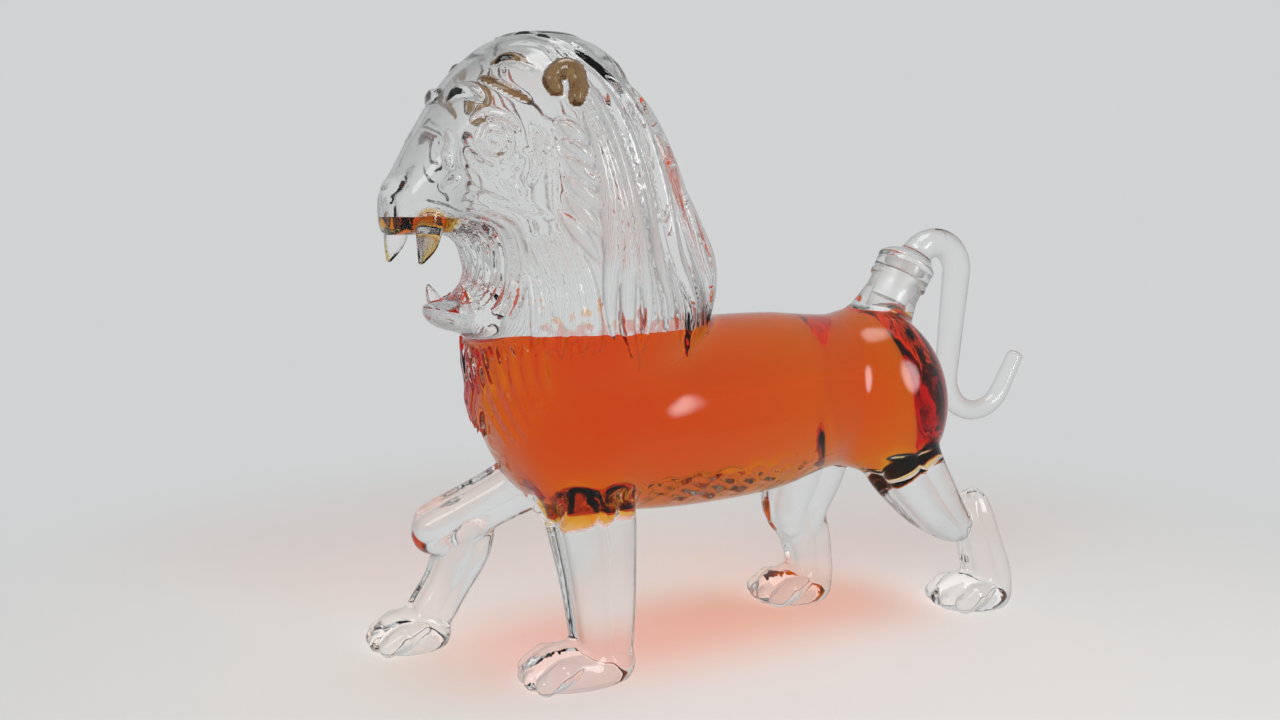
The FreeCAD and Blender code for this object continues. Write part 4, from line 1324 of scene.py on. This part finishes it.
class LION_OT_liquor(bpy.types.Operator):
    """Fills the body with liquor and leaves a small pool in the upper lip."""

    bl_idname = "lion.liquor"
    bl_label = "Liquor"

    def execute(self, context):
        shape = context.scene.lion_shape
        up = (0, 0, 1)
        hollow_surface(context)
        pool("liquor_body", "Liquor", CACHE["hollow_values"], CACHE["hollow_block"],
             [((0, 0, shape.liquor_level / MM), up)], "liquor_fill")
        block = Block((-162, -46, 170), (-112, 20, 184), 0.8)
        pool("lip_pool", "Lip liquor", hollow_field(block, shape.wall / MM), block,
             [((0, 0, shape.lip_level / MM), up), LIP_END], "muzzle_liquor")
        return {"FINISHED"}


class LION_OT_stage(bpy.types.Operator):
    """Sets the pale floor, the lamps, the background and the camera."""

    bl_idname = "lion.stage"
    bl_label = "Stage"

    def execute(self, context):
        scene = context.scene
        mesh = bpy.data.meshes.new("floor")
        corners = [(x * FLOOR_REACH, y * FLOOR_REACH, 0) for x, y in ((-1, -1), (1, -1), (1, 1), (-1, 1))]
        mesh.from_pydata(corners, [], [(0, 1, 2, 3)])
        floor_material()
        mesh.materials.append(bpy.data.materials["Floor"])
        floor = bpy.data.objects.new("floor", mesh)
        scene.collection.objects.link(floor)
        room(scene)
        for name, place, size, power in LAMPS:
            lamp(scene, name, place, size, power)
        camera = bpy.data.cameras.new("view")
        camera.sensor_width = SENSOR
        camera.lens = VIEW_FOCAL / VIEW_WIDTH * SENSOR
        camera.clip_start = 0.01
        viewer = bpy.data.objects.new("view", camera)
        viewer.location = Vector(VIEW_FROM) * MM
        viewer.rotation_euler = (math.pi / 2 - VIEW_DOWN, 0, -VIEW_YAW)
        scene.collection.objects.link(viewer)
        scene.camera = viewer
        scene.view_settings.view_transform = "Standard"
        scene.cycles.max_bounces = 24
        scene.cycles.transmission_bounces = 24
        scene.cycles.transparent_max_bounces = 32
        return {"FINISHED"}


# Stage: the pale background, how strongly it lights what isn't glass, and lengths in metres
PALE = (0.64, 0.645, 0.65, 1)
ROOM_LIGHT = 0.45
FLOOR_REACH = 3
SENSOR = 36
LAMP_TARGET = (0, 0, 0.1)
# Lamps as name, place, size and power
LAMPS = (
    ("window", (0.48, -1.05, 0.5), (0.46, 0.9), 9),
    ("left window", (-1.0, -0.6, 0.75), (0.9, 0.7), 8),
    ("ceiling", (0.1, -0.1, 1.5), (1.0, 1.0), 12),
)


def floor_material():
    """A pale floor that keeps shadows near the object and runs out into the pale background."""
    tree, out = nodes_of("Floor")
    place = put(tree, "ShaderNodeTexCoord").outputs["Object"]
    noise = put(tree, "ShaderNodeTexNoise", {"Vector": place, "Scale": 3})
    tone = put(tree, "ShaderNodeValToRGB", {"Fac": noise.outputs["Fac"]})
    fill_ramp(tone.color_ramp, ((0.3, (0.6, 0.595, 0.585, 1)), (0.7, (0.63, 0.625, 0.615, 1))))
    away = put(tree, "ShaderNodeVectorMath", {0: place}, operation="LENGTH")
    far = put(tree, "ShaderNodeMapRange", {
        "Value": away.outputs["Value"], "From Min": 0.17, "From Max": 0.46},
        interpolation_type="SMOOTHSTEP")
    ground = put(tree, "ShaderNodeBsdfPrincipled", {
        "Base Color": tone.outputs["Color"], "Roughness": 0.6, "Specular IOR Level": 0.2})
    glow = put(tree, "ShaderNodeEmission", {"Color": PALE})
    mix = put(tree, "ShaderNodeMixShader", {
        "Fac": calc(tree, "MULTIPLY", looked_at(tree), far.outputs["Result"]),
        1: ground.outputs["BSDF"], 2: glow.outputs["Emission"]})
    tree.links.new(mix.outputs["Shader"], out.inputs["Surface"])


def lamp(scene, name, place, size, power):
    """A rectangular lamp with soft edges that looks at the object."""
    data = bpy.data.lights.new(name, "AREA")
    data.shape = "RECTANGLE"
    data.size, data.size_y = size
    data.energy = power
    data.use_nodes = True
    tree = data.node_tree
    spot = put(tree, "ShaderNodeNewGeometry")
    away = put(tree, "ShaderNodeVectorMath", {
        0: spot.outputs["Parametric"], 1: (0.5, 0.5, 0)}, operation="DISTANCE")
    fade = put(tree, "ShaderNodeMapRange", {
        "Value": away.outputs["Value"], "From Min": 0.5, "From Max": 0.26, "To Max": 1.9},
        interpolation_type="SMOOTHSTEP")
    tree.links.new(fade.outputs["Result"], tree.nodes["Emission"].inputs["Strength"])
    light = bpy.data.objects.new(name, data)
    light.visible_transmission = False
    light.location = place
    light.rotation_euler = (Vector(LAMP_TARGET) - Vector(place)).to_track_quat("-Z", "Y").to_euler()
    scene.collection.objects.link(light)


def room(scene):
    """A plain pale room, the same for the camera and for glass, that lights the floor more softly."""
    world = bpy.data.worlds.new("room")
    scene.world = world
    world.use_nodes = True
    tree = world.node_tree
    tree.nodes.clear()
    level = put(tree, "ShaderNodeMapRange", {"Value": looked_at(tree), "To Min": ROOM_LIGHT})
    glow = put(tree, "ShaderNodeBackground", {"Color": PALE, "Strength": level.outputs["Result"]})
    put(tree, "ShaderNodeOutputWorld", {"Surface": glow.outputs["Background"]})


def looked_at(tree):
    """An output that is 1 on rays from the camera, on reflected rays and on rays through glass."""
    path = put(tree, "ShaderNodeLightPath").outputs
    straight = calc(tree, "MAXIMUM", path["Is Camera Ray"], path["Is Transmission Ray"])
    return calc(tree, "MAXIMUM", straight, path["Is Glossy Ray"])


def fill_ramp(ramp, stops):
    """Sets the stops of a colour ramp, from left to right."""
    while len(ramp.elements) < len(stops):
        ramp.elements.new(1)
    for element, (position, colour) in zip(ramp.elements, stops):
        element.position = position
        element.color = colour


class LION_PT_panel(bpy.types.Panel):
    """Lists the steps that build the lion."""

    bl_idname = "LION_PT_panel"
    bl_label = "Glass lion"
    bl_space_type = "VIEW_3D"
    bl_region_type = "UI"
    bl_category = "Lion"

    def draw(self, context):
        layout = self.layout
        for group in (context.scene.lion_shape, context.scene.lion_finish):
            for name in group.__annotations__:
                layout.prop(group, name)
        for step in STEPS:
            layout.operator(step.bl_idname)


STEPS = (LION_OT_materials, LION_OT_head, LION_OT_torso, LION_OT_legs, LION_OT_neck, LION_OT_stopper,
         LION_OT_liquor, LION_OT_stage)
CLASSES = (LionShape, LionFinish) + STEPS + (LION_PT_panel,)


def register():
    """Registers the classes and the scene's settings."""
    for item in CLASSES:
        bpy.utils.register_class(item)
    bpy.types.Scene.lion_shape = bpy.props.PointerProperty(type=LionShape)
    bpy.types.Scene.lion_finish = bpy.props.PointerProperty(type=LionFinish)


def unregister():
    """Takes the classes and the settings away again."""
    del bpy.types.Scene.lion_finish
    del bpy.types.Scene.lion_shape
    for item in reversed(CLASSES):
        bpy.utils.unregister_class(item)


def main():
    """Builds every piece in order."""
    register()
    bpy.ops.lion.materials()
    bpy.ops.lion.head()
    bpy.ops.lion.torso()
    bpy.ops.lion.legs()
    bpy.ops.lion.neck()
    bpy.ops.lion.stopper()
    bpy.ops.lion.liquor()
    bpy.ops.lion.stage()


if __name__ == "__main__":
    main()
